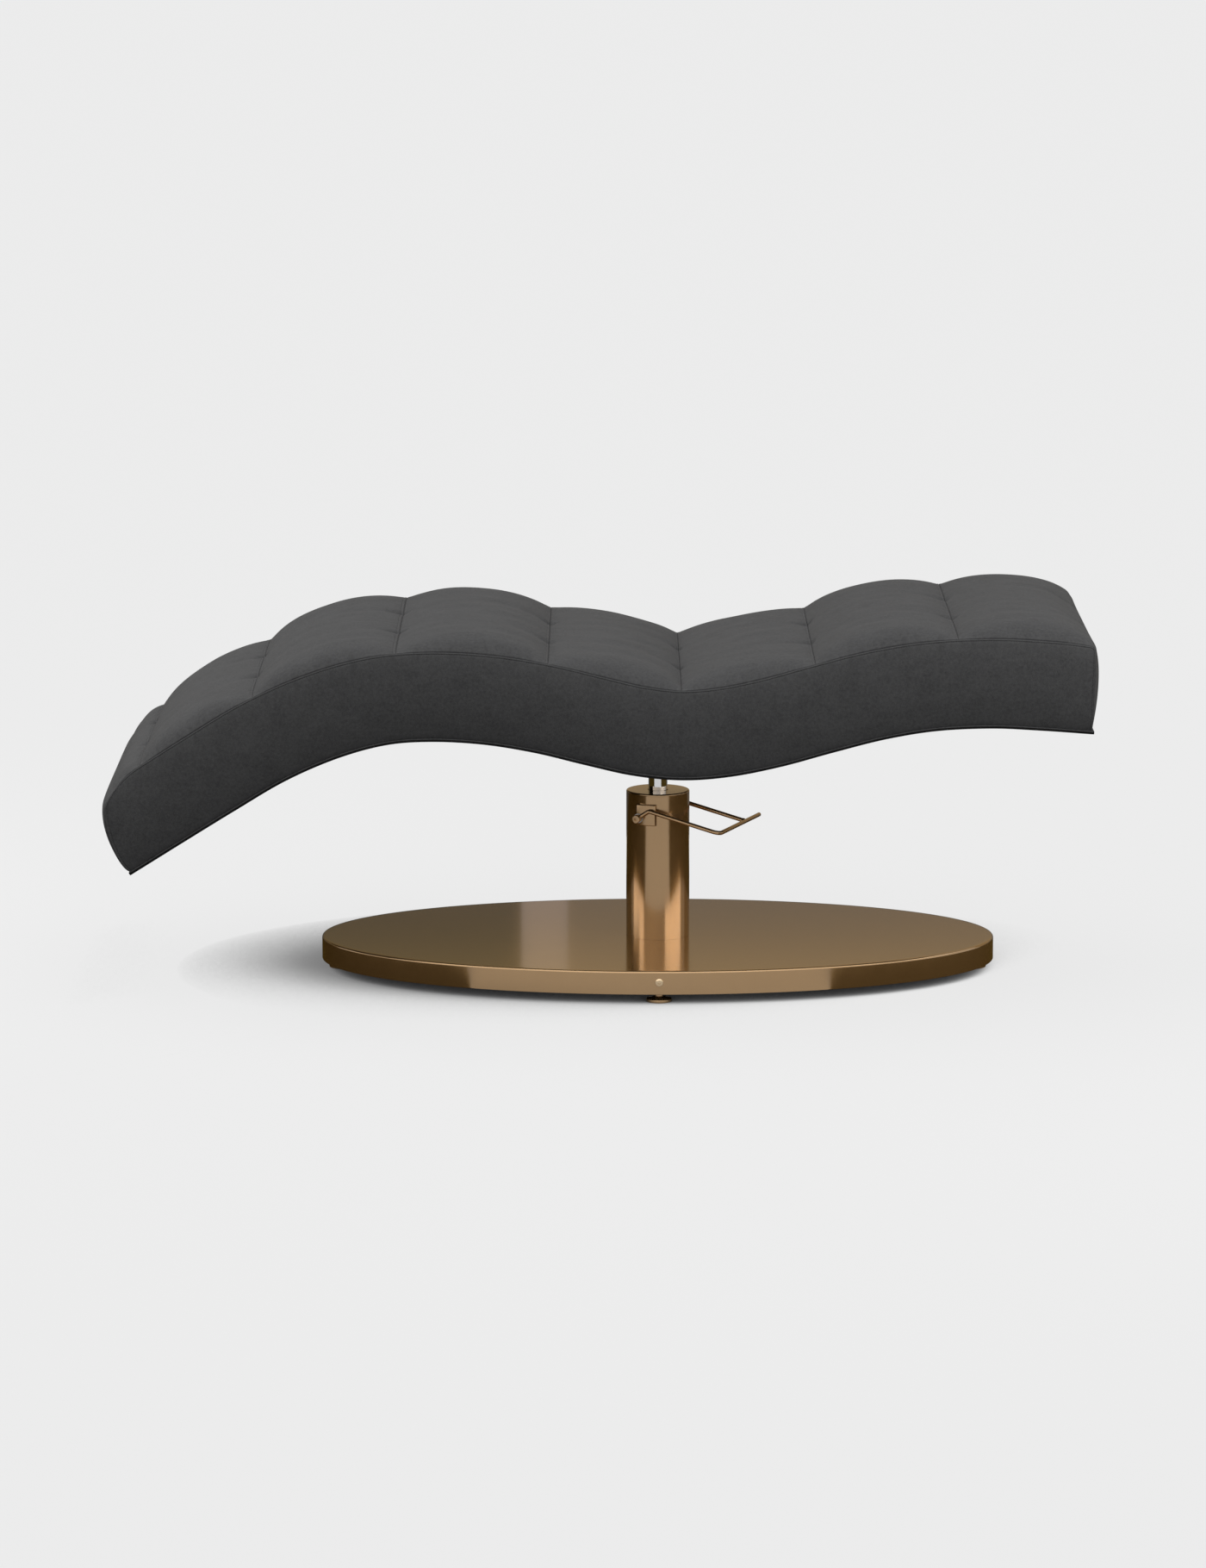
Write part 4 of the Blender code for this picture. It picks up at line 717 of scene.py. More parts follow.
@dataclass
class Base:
    """The oval bronze shell, the screws in its rim and the levelling feet under it."""

    half_length: float = 0.639
    half_width: float = 0.350
    top: float = 0.0635
    rim: float = 0.044
    wall: float = 0.0025
    edge: float = 0.004
    low_edge: float = 0.0012
    hole: float = 0.0535
    lead: float = 0.012
    rings: int = 6
    sides: int = 224
    screw_head: float = 0.0075
    screw_height: float = 0.0035
    screw_shank: float = 0.004
    screw_socket: float = 0.0032
    screw_length: float = 0.012
    screw_brim: float = 0.25
    screw_curve: float = 1.3
    screw_seat: float = 0.2
    screw_socket_depth: float = 1.9
    pad: float = 0.024
    pad_flat: float = 0.0008
    pad_low_edge: float = 0.0016
    pad_high_edge: float = 0.0022
    pad_slope: tuple[Pair, ...] = ((0.01488, 0.0078), (0.0125, 0.0086), (0.0100, 0.010))
    collar: float = 0.0090
    collar_rise: float = 0.0006
    collar_chamfer: float = 0.0004
    crest: float = 0.0060
    crest_inset: float = 0.0002
    crest_span: Pair = (0.4, 0.55)
    root: float = 0.0052
    pitch: float = 0.00175
    thread_clear: float = 0.0008
    stem_chamfer: Pair = (0.0006, 0.0004)
    screw_sides: int = 48
    foot_sides: int = 64

    def build(self, bench: Bench) -> None:
        """Make the shell, the screws and the feet, and finish what stays of the base.

        Args:
            bench: the bench that finishes and keeps the pieces.
        """
        bench.set_down("base_shell", self.shell(), BRONZE, Body.BASE, "base_cover")
        for name, side in (("front", -1), ("back", 1)):
            bench.set_down(f"rim_screw_{name}", self.screw(side), SCREW_BRONZE, Body.BASE, f"cover_screw_{name}")
        for name in ("front", "back", "left", "right"):
            bench.set_down(f"levelling_pad_{name}", self.foot(*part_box(f"foot_{name}")), BRONZE,
                           Body(f"levelling_foot_{name}"), f"foot_{name}")
            bench.keep(STEEL, f"foot_nut_{name}")
        bench.keep(BLACK, "base_plate")
        bench.keep(STEEL, "rim_bracket_front", "rim_bracket_back")

    def shell(self) -> Mesh:
        """The shell, turned as a round one about the column and then drawn in to its oval.

        Returns:
            The mesh.
        """
        bottom, reach, inner = self.top - self.rim, self.half_length, self.top - self.wall
        edge, wall, low, flat = self.edge, self.wall, self.low_edge, self.half_length - self.lead
        steps = [self.hole + (flat - self.hole) * step / self.rings for step in range(self.rings + 1)]
        section = [(step, self.top) for step in steps]
        section += arc((reach - edge, self.top - edge), edge, 90, 0, 8)
        section += arc((reach - low, bottom + low), low, 0, -90, 4)
        section += [(reach - wall, bottom), (reach - wall, inner - edge), (reach - wall - edge, inner)]
        section += [(step, inner) for step in steps[-2::-1]]
        bm = spun(section, self.sides, Matrix.Identity(4), closed=True)
        for vert in bm.verts:
            round_reach = math.hypot(vert.co.x, vert.co.y)
            across, along = vert.co.y / round_reach, vert.co.x / round_reach
            share = min((round_reach - self.hole) / (flat - self.hole), 1)
            oval = self.oval_point(along, across, min(max(reach - round_reach, 0), self.lead))
            vert.co.x = CENTRE_X + oval[0] * share + self.hole * along * (1 - share)
            vert.co.y = oval[1] * share + self.hole * across * (1 - share)
        return bm

    def oval_point(self, along: float, across: float, inset: float) -> Pair:
        """The point of the oval at a turn's cosine and sine, moved square to the oval's edge by an inset.

        Args:
            along: the turn's cosine.
            across: the turn's sine.
            inset: how far in the point is.

        Returns:
            Its place along and across.
        """
        length, width = self.half_length, self.half_width
        square = math.hypot(width * along, length * across)
        return (length * along - inset * width * along / square, width * across - inset * length * across / square)

    def screw(self, side: int) -> Mesh:
        """A button-head screw with its hexagonal socket.

        Args:
            side: -1 for the near side and 1 for the far side.

        Returns:
            The mesh.
        """
        head, height, shank, end = self.screw_head, self.screw_height, self.screw_shank, -self.screw_length
        brim, curve, turns = self.screw_brim, self.screw_curve, [math.radians(x) for x in range(28, 91, 8)]
        dome = [(head * math.sin(a), height * (brim + (1 - brim) * math.cos(a) ** curve)) for a in turns]
        profile = [(0, dome[0][1]), *dome, (head, height * self.screw_seat), (head - GAP, GAP), (shank, GAP),
                   (shank, end), (0, end)]
        low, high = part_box("cover_screw_front")
        middle = shifted(CENTRE_X, side * self.half_width, (low.z + high.z) / 2)
        place = middle @ Matrix.Rotation(-side * math.pi / 2, 4, "X")
        socket = hexagon(self.screw_socket, height * self.screw_socket_depth, place @ shifted(0, 0, height))
        return cut(spun(profile, self.screw_sides, place), [socket])

    def foot(self, low: Vector, high: Vector) -> Mesh:
        """A levelling foot: a dished pad on a collar and a threaded stem.

        Args:
            low: the lowest corner of its solid's box.
            high: the highest corner.

        Returns:
            The mesh.
        """
        pad, top, middle, collar_top = self.pad, high.z, (low + high) / 2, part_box("foot_nut_front")[0].z - GAP
        edge, brim, collar, chamfer = self.pad_low_edge, self.pad_high_edge, self.collar, self.collar_chamfer
        profile = [(0, 0), (pad - edge - self.pad_flat, 0), *arc((pad - edge, edge), edge, -90, 0, 4),
                   *arc((pad - brim, 2 * brim), brim, 0, 80, 5), *self.pad_slope,
                   (collar, self.pad_slope[-1][1] + self.collar_rise), (collar, collar_top - chamfer),
                   (collar - chamfer, collar_top), (self.crest - self.crest_inset, collar_top)]
        z = collar_top + self.thread_clear
        while z + self.pitch < top - self.thread_clear:
            profile += [(self.root, z), *((self.crest, z + self.pitch * share) for share in self.crest_span)]
            z += self.pitch
        inset, drop = self.stem_chamfer
        profile += [(self.root, top - drop), (self.root - inset, top), (0, top)]
        return spun(profile, self.foot_sides, shifted(middle.x, middle.y, 0))


# ---- the column, its cap and the ram


def beside_column(along: float, out: float, rise: float = 0.0) -> Vector:
    """A place along the lever's arms, out of the column's near face, and above the lever's pivot."""
    return Vector((CENTRE_X, 0, PIVOT_Z + rise)) + ARM * along + FACE * out


def pivot_frame(out: float, side: int) -> Matrix:
    """The matrix that carries +Z out of the column's near (1) or far (-1) face, at the lever's pivot.

    Args:
        out: how far from the column's axis it starts.
        side: which face.

    Returns:
        The matrix.
    """
    outer = FACE * side
    turn = Matrix((ARM, outer.cross(ARM), outer)).transposed().to_4x4()
    return Matrix.Translation(beside_column(PIVOT_ALONG, out * side)) @ turn


@dataclass
class Column:
    """The bronze column, its cap, the lever's housings and the chrome ram."""

    radius: float = 0.060
    wall: float = 0.0025
    foot: float = 0.06362
    cap_top: float = 0.3435
    cap_thickness: float = 0.004
    cap_edge: float = 0.0024
    cap_chamfer: float = 0.0006
    cap_flat: float = 0.002
    lip: float = 0.008
    lip_wall: float = 0.004
    ram: float = 0.018
    ram_gap: float = 0.001
    ram_top: float = 0.012
    ram_top_chamfer: float = 0.001
    ram_foot: float = 0.010
    ram_chamfer: float = 0.0008
    guide_start: float = 0.2
    boss_z: float = 0.304
    boss_half_width: float = 0.019
    boss_half_height: float = 0.020
    boss_front: float = 0.065
    boss_back: float = 0.052
    boss_edge: float = 0.0016
    shaft_hole: float = 0.0044
    shaft_drill: float = 0.02
    window_back: float = 0.03
    window_over: float = 0.004
    sides: int = 160
    ram_sides: int = 96

    def build(self, bench: Bench) -> None:
        """Make the column, the cap, the housings and the ram, and finish what is inside.

        Args:
            bench: the bench that finishes and keeps the pieces.
        """
        axis = shifted(CENTRE_X, 0, 0)
        bench.set_down("column_tube", self.tube(axis), BRONZE, Body.BASE, "column_cover")
        bench.set_down("column_top_cap", self.cap(axis), BRONZE, Body.BASE, "column_cap")
        for name, side in NEAR_AND_FAR:
            boss = self.boss(side, 0, self.boss_back, self.boss_front, self.boss_edge)
            middle = pivot_frame((self.boss_back + self.boss_front) / 2, side)
            hole = drill(self.shaft_hole, self.shaft_drill, middle)
            bench.set_down(f"lever_housing_{name}", cut(boss, [hole]), BRONZE, Body.BASE, f"lever_boss_{name}")
        bench.set_down("ram_rod", self.ram_rod(axis), CHROME, Body.RAM, "lift_piston")
        bench.keep(STEEL, "pump_flange", "pump_reservoir", "pump_cylinder", "pump_head", "pump_cam", "pump_plunger",
                   "plunger_spring", "lever_washer_near", "lever_washer_far", flange_bolt=4)
        bench.keep(BEARING, "piston_guide", "swivel_washer")
        bench.keep(RUBBER, "piston_seal")

    def tube(self, axis: Matrix) -> Mesh:
        """The column's tube about its axis, with a window for each housing.

        Args:
            axis: the matrix that carries the column's axis to its place.

        Returns:
            The mesh.
        """
        top, outer, inner = self.cap_top - self.cap_thickness - GAP, self.radius, self.radius - self.wall
        profile = [(outer, top), (outer, (top + self.foot) / 2), (outer, self.foot), (inner, self.foot), (inner, top)]
        windows = [self.boss(side, GAP, self.window_back, outer + self.window_over, 0) for _, side in NEAR_AND_FAR]
        return cut(spun(profile, self.sides, axis, closed=True), windows)

    def cap(self, axis: Matrix) -> Mesh:
        """The cap about its axis: a rounded disc with a lip down inside the tube and the ram's hole.

        Args:
            axis: the matrix that carries the column's axis to its place.

        Returns:
            The mesh.
        """
        top, edge, chamfer, low = self.cap_top, self.cap_edge, self.cap_chamfer, self.cap_top - self.cap_thickness
        inner, hole = self.radius - self.wall - GAP, self.ram + self.ram_gap
        lip, wall = low - self.lip, self.lip_wall
        profile = [(hole + chamfer, top), (self.radius - edge - self.cap_flat, top),
                   *arc((self.radius - edge, top - edge), edge, 90, 0, 7), (self.radius, low), (inner, low),
                   (inner, lip), (inner - wall, lip), (inner - wall, low), (hole, low), (hole, top - chamfer)]
        return spun(profile, self.sides, axis, closed=True)

    def boss(self, side: int, margin: float, back: float, front: float, edge: float) -> Mesh:
        """A lever housing's block.

        Args:
            side: 1 for the near side and -1 for the far side.
            margin: how much it is grown, for the hole that it fits.
            back: how far its inner face is from the column's axis.
            front: how far its outer face is from the column's axis.
            edge: the radius of its edges.

        Returns:
            The mesh.
        """
        width, height = self.boss_half_width + margin, self.boss_half_height + margin
        inner, outer = sorted((-side * back, -side * front))
        turn = shifted(CENTRE_X, 0, self.boss_z) @ Matrix.Rotation(-YAW, 4, "Z")
        return block((-width, inner, -height), (width, outer, height), turn, edge)

    def ram_rod(self, axis: Matrix) -> Mesh:
        """The chrome ram about its axis, with its reduced top and its guide's step.

        Args:
            axis: the matrix that carries the column's axis to its place.

        Returns:
            The mesh.
        """
        low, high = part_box("lift_piston")
        shoulder, guide_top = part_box("swivel_washer")[0].z - GAP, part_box("piston_guide")[1].z + GAP
        ram, foot, chamfer, top, edge = self.ram, self.ram_foot, self.ram_chamfer, self.ram_top, self.ram_top_chamfer
        profile = [(0, high.z), (top - edge, high.z), (top, high.z - edge), (top, shoulder),
                   (ram - chamfer, shoulder), (ram, shoulder - chamfer), (ram, self.guide_start), (ram, guide_top),
                   (foot, guide_top), (foot, low.z), (0, low.z)]
        return spun(profile, self.ram_sides, axis)


# ---- the lever


@dataclass
class Lever:
    """The forked pump lever: its bent bar, its far arm and the pivot bolts."""

    rod: float = 0.004
    plane: float = 0.0712
    elbow_along: float = 0.0087
    elbow_rise: float = 0.0155
    corner_along: float = 0.151
    corner_drop: float = 0.018
    elbow_radius: float = 0.008
    corner_radius: float = 0.014
    tip: float = 0.150
    eye: float = 0.0075
    eye_half: float = 0.0034
    eye_rim: float = 0.0007
    eye_drill: float = 0.01
    bolt_head: float = 0.00775
    bolt_height: float = 0.006
    bolt_shank: float = 0.004
    bolt_length: float = 0.0425
    bolt_socket: float = 0.003
    bolt_socket_depth: float = 0.007
    bolt_edge: float = 0.0012
    bolt_flat: float = 0.0002
    sides: int = 32
    eye_sides: int = 48
    bolt_sides: int = 56
    weld_sides: int = 28
    weld_shape: tuple[Pair, ...] = ((-0.0022, 1.01), (-0.0008, 1.10), (0.0006, 1.20), (0.0016, 1.16), (0.0030, 0.95))

    def build(self, bench: Bench) -> None:
        """Make the bar, the far arm and the bolts.

        Args:
            bench: the bench that finishes and keeps the pieces.
        """
        tip = beside_column(self.corner_along, -self.tip, -self.corner_drop)
        path = rounded_path([*self.corners(1), tip], (self.elbow_radius, self.corner_radius))
        toward = (tip - path[-2]).normalized()
        turns = [math.radians(x) for x in range(0, 90, 15)]
        dome = [tip - toward * (self.rod * (1 - math.sin(a))) for a in turns]
        radii = [self.rod] * (len(path) - 1) + [self.rod * math.cos(a) for a in turns]
        bar = swept([*path[:-1], *dome], radii, self.sides)
        bench.set_down("pump_lever_bar", self.eyed(bar, 1), BRONZE, Body.LEVER, "lever_bar")
        pivot, elbow, corner = self.corners(-1)
        weld = corner - (corner - elbow).normalized() * (self.rod + 2 * GAP)
        path = rounded_path([pivot, elbow, weld], (self.elbow_radius,))
        arm = swept(path, [self.rod] * len(path), self.sides)
        bench.set_down("pump_lever_far_arm", self.eyed(arm, -1), BRONZE, Body.LEVER, "lever_far_arm")
        bench.set_down("lever_weld", self.weld(weld, corner), BRONZE, Body.LEVER)
        for name, side in NEAR_AND_FAR:
            bench.set_down(f"pivot_bolt_{name}", self.bolt(side), BRONZE, Body.LEVER, f"lever_bolt_{name}")

    def corners(self, side: int) -> list[Vector]:
        """The pivot, elbow and far corner of the arm on the near (1) or far (-1) side."""
        places = ((PIVOT_ALONG, 0), (self.elbow_along, self.elbow_rise), (self.corner_along, -self.corner_drop))
        return [beside_column(along, self.plane * side, rise) for along, rise in places]

    def eyed(self, bar: Mesh, side: int) -> Mesh:
        """Weld the pivot's eye to a bar's end and drill it.

        Args:
            bar: the bar, which is used up.
            side: 1 for the near side and -1 for the far side.

        Returns:
            The mesh.
        """
        half, reach, rim, place = self.eye_half, self.eye, self.eye_rim, pivot_frame(self.plane, side)
        eye = spun([(0, half), (reach - rim, half), (reach, half - rim), (reach, rim - half), (reach - rim, -half),
                    (0, -half)], self.eye_sides, place)
        return cut(cut(bar, [eye], "UNION"), [drill(self.bolt_shank + GAP, self.eye_drill, place)])

    def weld(self, end: Vector, corner: Vector) -> Mesh:
        """The small collar of weld between the far arm's end and the crossbar's corner.

        Args:
            end: where the far arm ends.
            corner: the crossbar's corner.

        Returns:
            The mesh.
        """
        along = (corner - end).normalized()
        points = [end + along * step for step, _ in self.weld_shape]
        return swept(points, [self.rod * share for _, share in self.weld_shape], self.weld_sides)

    def bolt(self, side: int) -> Mesh:
        """A pivot bolt: a domed head with a hexagonal socket, and its shank into the pump.

        Args:
            side: 1 for the near side and -1 for the far side.

        Returns:
            The mesh.
        """
        seat, place = self.plane + self.rod + GAP, pivot_frame(0, side)
        top, end = seat + self.bolt_height, seat - self.bolt_length
        head, edge, shank = self.bolt_head, self.bolt_edge, self.bolt_shank
        profile = [(0, top), (head - edge - self.bolt_flat, top), *arc((head - edge, top - edge), edge, 80, 0, 4),
                   (head, seat + GAP), (head - GAP, seat), (shank, seat), (shank, end), (0, end)]
        socket = hexagon(self.bolt_socket, self.bolt_socket_depth, place @ shifted(0, 0, top))
        return cut(spun(profile, self.bolt_sides, place), [socket])


# ---- the bed's line


@dataclass
class BedLine:
    """The smooth lower line of the bed, and places measured from it."""

    reach: float = 0.918
    wave: float = 0.100
    lowest: float = 0.4225
    knots: tuple[Pair, ...] = (
        (-0.943, -1.768), (-0.839, -1.169), (-0.735, -0.577), (-0.632, -0.015), (-0.528, 0.405),
        (-0.430, 0.655), (-0.338, 0.718), (-0.234, 0.665), (-0.131, 0.510), (-0.033, 0.290),
        (0.065, 0.087), (0.163, 0.000), (0.261, 0.065), (0.365, 0.258), (0.468, 0.520),
        (0.572, 0.765), (0.675, 0.920), (0.784, 0.967), (0.882, 0.928), (0.986, 0.860),
    )
    steps: int = 40
    smoothing: int = 15

    def __post_init__(self) -> None:
        """Work out the line's points, lengths and normals."""
        marks = np.array([(x * self.reach, self.lowest + z * self.wave) for x, z in self.knots])
        marks = np.vstack([2 * marks[0] - marks[1], marks, 2 * marks[-1] - marks[-2]])
        t = np.linspace(0, 1, self.steps, endpoint=False)[:, None]
        runs = [0.5 * (2 * b + (c - a) * t + (2 * a - 5 * b + 4 * c - d) * t**2 + (3 * b - a - 3 * c + d) * t**3)
                for a, b, c, d in zip(marks, marks[1:], marks[2:], marks[3:])]
        self.points = np.vstack([*runs, marks[-2][None]])
        steps = np.linalg.norm(np.diff(self.points, axis=0), axis=1)
        self.distance = np.concatenate([[0], np.cumsum(steps)])
        self.length = float(self.distance[-1])
        slope = np.gradient(self.points, self.distance, axis=0)
        kernel = np.hanning(2 * self.smoothing + 1)
        kernel /= kernel.sum()
        padded = np.vstack([np.repeat(slope[:1], self.smoothing, 0), slope, np.repeat(slope[-1:], self.smoothing, 0)])
        slope = np.stack([np.convolve(padded[:, k], kernel, "valid") for k in (0, 1)], 1)
        slope /= np.linalg.norm(slope, axis=1)[:, None]
        self.normals = np.stack([-slope[:, 1], slope[:, 0]], 1)

    def place(self, distance: Array, across: Array, height: Array) -> Array:
        """Measure places from the line.

        Args:
            distance: distances along the line.
            across: distances to the side.
            height: heights square to the line.

        Returns:
            The points.
        """
        base, normal = (np.stack([np.interp(distance, self.distance, values[:, k]) for k in (0, 1)], -1)
                        for values in (self.points, self.normals))
        over = np.maximum(distance - self.length, 0) + np.minimum(distance, 0)
        ahead = np.stack([normal[..., 1], -normal[..., 0]], -1)
        flat = base + normal * height[..., None] + ahead * over[..., None]
        return np.stack([flat[..., 0], across, flat[..., 1]], -1)


# ---- the cushion


def bell(value: Array, width: float | Array) -> Array:
    """A smooth hump of height 1 and a half width."""
    return np.exp(-(value / width) ** 2)


def rise(value: Array, low: float, high: float) -> Array:
    """A smooth step from 0 at low to 1 at high."""
    t = np.clip((value - low) / (high - low), 0, 1)
    return t * t * (3 - 2 * t)


def hump(away: Array, shape: Pair) -> Array:
    """A smooth hump of a height and a half width."""
    return shape[0] * bell(away, shape[1])


@dataclass(frozen=True)
class Trace:
    """How a seam draws the cover in: the seam, the stitches beside it and the ridge between them.

    Each is a share of the groove's depth and a half width.
    """

    seam: Pair
    stitches: Pair
    ridge: Pair

    def drawn(self, away: Array, gap: float, doubled: Array | bool = True) -> Array:
        """How deep the cover is drawn in, as shares of the groove's depth.

        Args:
            away: the distance from the seam, toward its stitches.
            gap: how far the stitches are from it.
            doubled: where it has such stitches.

        Returns:
            The depths.
        """
        beside = hump(away - gap, self.stitches) - hump(away - gap / 2, self.ridge)
        return hump(away, self.seam) + np.where(doubled, beside, 0)


@dataclass
class Cushion:
    """The upholstered wave: crowned channels, tufts, folds, sewn seams and its stitching."""

    line: BedLine = field(default_factory=BedLine)
    half_width: float = 0.360
    half_length: float = 0.923
    thickness: float = 0.171
    floor: float = 0.0063
    crown: float = 0.025
    crown_power: float = 2.6
    side_power: float = 18
    corner_power: float = 10
    belly_power: float = 0.55
    seams: tuple[float, ...] = (0.0427, 0.1897, 0.3063, 0.4321, 0.5836, 0.7458, 0.8700)
    end_share: float = 0.3
    tuft: float = 1 / 3
    tuft_depth: float = 0.0065
    tuft_reach: Triple = (0.015, 0.009, 0.013)
    fold_depth: float = 0.0022
    fold_width: Pair = (0.034, 0.014)
    fold_span: Pair = (0.40, 0.985)
    pillow: float = 0.0010
    pillow_reach: Pair = (0.045, 0.05)
    shoulder: float = 0.011
    head_shoulder: float = 0.5
    seam_inset: float = 0.009
    seam_from: float = 0.62
    edge_drop: float = 0.003
    foot_thin: float = 0.005
    thin_to: float = 0.45
    pucker: float = 0.00030
    gathers: tuple[Triple, ...] = ((0.43, 0.0173, 1.0), (0.31, 0.0291, 2.3), (0.26, 0.0467, 0.4))
    seam_turn: float = 60
    side_turn: float = 5
    cross_gathers: tuple[Pair, ...] = ((-0.005, 0.006), (0.008, 0.006))
    top_gathers: Pair = (0.006, 0.007)
    side_gathers: Pair = (0.012, 0.009)
    side_draw: float = 0.008
    tuck: float = 0.005
    tuck_to: float = 0.16
    foot_trim: float = 0.058
    head_trim: float = 0.006
    foot_bulge: float = 0.034
    head_bulge: float = 0.014
    foot_puff: float = 0.010
    head_puff: float = 0.0145
    foot_zone: float = 0.042
    head_zone: float = 0.030
    row: float = 0.0042
    cross_row: float = 0.0034
    groove: float = 0.0011
    cross_trace: Trace = Trace((0.8, 0.0008), (0.6, 0.0007), (0.25, 0.0013))
    side_trace: Trace = Trace((1.0, 0.0009), (0.8, 0.0007), (0.3, 0.0014))
    corner_trace: Trace = Trace((1.0, 0.0012), (0.6, 0.0009), (0.4, 0.0014))
    cross_wear: Pair = (0.15, 0.003)
    top_wear: Pair = (0.2, 0.008)
    row_wear: Pair = (0.3, 0.005)
    side_wear: Pair = (0.22, 0.012)
    corner_wear: Pair = (0.2, 0.005)
    # The largest share of painted shade that the seam grooves take.
    groove_shade_strength: float = 0.75
    coarse: float = 0.0050
    fine: float = 0.00055
    coarsening: float = 0.45
    foot_strip: float = 0.003
    foot_bend: float = 0.046
    head_bend: float = 0.010
    waves: int = 14
    wave_seed: int = 11
    wave_turn: float = 0.5
    wave_sizes: Pair = (0.05, 0.16)
    wave_share: float = 0.002
    side_wave: float = 0.0007
    side_waves: tuple[tuple[float, ...], ...] = ((0.5, 19, 0, 1.3), (0.3, 43, 5, 0), (0.2, 71, -9, 0))
    cloth_cuts: tuple[int, int, int] = (92, 36, 9)
    cloth_grip: float = 0.1
    cloth_frames: int = 20
    cloth_cap: float = 0.0035
    cloth_settings: tuple[tuple[str, float], ...] = (
        ("quality", 6), ("mass", 0.3), ("tension_stiffness", 25), ("compression_stiffness", 25),
        ("shear_stiffness", 8), ("bending_stiffness", 1.0), ("air_damping", 2), ("use_pressure", True),
        ("uniform_pressure_force", 3.0))
    pitch: float = 0.0046
    stitch_length: float = 0.0041
    thread: float = 0.00033
    thread_lift: float = 0.45
    thread_dip: float = 1.1

    def build(self, bench: Bench) -> None:
        """Make the cushion and the rows of stitches on it.

        Args:
            bench: the bench that finishes and keeps the pieces.
        """
        self.marks = [self.along_marks(), self.across_marks(), self.up_marks()]
        bm, cells = self.lattice(self.marks)
        u, v, w = self.shares(cells, self.marks)
        move_points(bm, self.place(u, v, w) + self.swell(cells) + self.folds(u, v, w))
        bmesh.ops.recalc_face_normals(bm, faces=bm.faces)
        piece = bench.set_down("upholstered_wave", bm, Nubuck(), Body.BED, "bed_cushion", shade=Shade.SMOOTH)
        self.sew(piece.data, *self.seam_depths(u, v, w))
        self.set_length(piece.data)
        self.stitch(bench, piece.data, cells)

    def spaced(self, length: float, fine_at: Sequence[Pair], targets: Sequence[float]) -> Marks:
        """Shares of a length, close together where the cloth has detail.

        Args:
            length: the length that is divided.
            fine_at: start and end of each stretch of fine spacing.
            targets: the shares that have to be among them.

        Returns:
            The shares, from 0 to 1.
        """
        spots = [0.0]
        while spots[-1] < length:
            here = spots[-1]
            gap = min((max(low - here, here - high, 0) for low, high in fine_at), default=length)
            step = min(self.coarse, self.fine + gap * self.coarsening)
            starts = [low for low, _ in fine_at if here + MERGE < low < here + step]
            spots.append(min(starts) if starts else here + step)
        spots[-1] = length
        if spots[-1] - spots[-2] < self.fine / 2:
            del spots[-2]
        return self.snapped([spot / length for spot in spots], targets)

    def along_marks(self) -> Marks:
        """The shares at which the cushion is cut lengthways: fine at its ends, seams and rows.

        Returns:
            The shares.
        """
        length, margin = self.line.length, 2 * self.fine
        stretches = [(0, self.row + margin), (length - self.row - margin, length)]
        stretches += [(seam * length - self.cross_row - margin, seam * length + margin) for seam in self.seams]
        rows = [seam - self.cross_row / length for seam in self.seams]
        return self.spaced(length, stretches, [*self.seams, *rows, self.row / length, 1 - self.row / length])

    def across_marks(self) -> Marks:
        """The shares at which the cushion is cut across: fine at its sides and tufts.

        Returns:
            The shares.
        """
        width, margin = 2 * self.half_width, 2 * self.fine
        stretches = [(0, self.row + margin), (width - self.row - margin, width)]
        middles = [self.half_width * (1 + side * self.tuft) for side in (-1, 1)]
        stretches += [(middle - self.fine, middle + self.fine) for middle in middles]
        return self.spaced(width, stretches, [self.row / width, 1 - self.row / width, *self.tufts()])

    def tufts(self) -> Pair:
        """The shares of the width at which the tufts lie."""
        return 0.5 - self.tuft / 2, 0.5 + self.tuft / 2

    def up_marks(self) -> Marks:
        """The shares at which the cushion's sides are cut.

        Returns:
            The shares.
        """
        high = self.thickness
        stretches = [(0, self.foot_strip), (high - self.row - 2 * self.fine, high)]
        return self.spaced(high, stretches, [1 - self.row / high])

    @staticmethod
    def snapped(marks: Marks, targets: Sequence[float]) -> Marks:
        """Move the nearest inner mark to each target.

        Args:
            marks: the marks.
            targets: the shares that have to be among them.

        Returns:
            The new marks.
        """
        spots = list(marks)
        for target in targets:
            nearest = min(range(1, len(spots) - 1), key=lambda k: abs(spots[k] - target))
            spots[nearest] = target
        return spots

    @staticmethod
    def lattice(marks: Sequence[Marks]) -> tuple[Mesh, Array]:
        """A unit cube cut into strips each way, plain below.

        Args:
            marks: the shares at which it is cut along, across and up.

        Returns:
            The mesh, and each point's place in the lattice as three counts.
        """
        counts = [len(cuts) - 1 for cuts in marks]
        bm = cut_cube(counts)
        inner = [edge for edge in bm.edges
                 if max(edge.verts[0].co.z, edge.verts[1].co.z) < MERGE
                 and abs(edge.verts[0].co.y - edge.verts[1].co.y) < MERGE < edge.verts[0].co.y < 1 - MERGE]
        bmesh.ops.dissolve_edges(bm, edges=inner, use_verts=True)
        return bm, np.rint(np.array([vert.co for vert in bm.verts]) * counts).astype(int)

    @staticmethod
    def shares(cells: Array, marks: Sequence[Marks]) -> list[Array]:
        """The shares of the length, width and thickness at each point of a lattice."""
        return [np.array(cuts)[cells[:, axis]] for axis, cuts in enumerate(marks)]

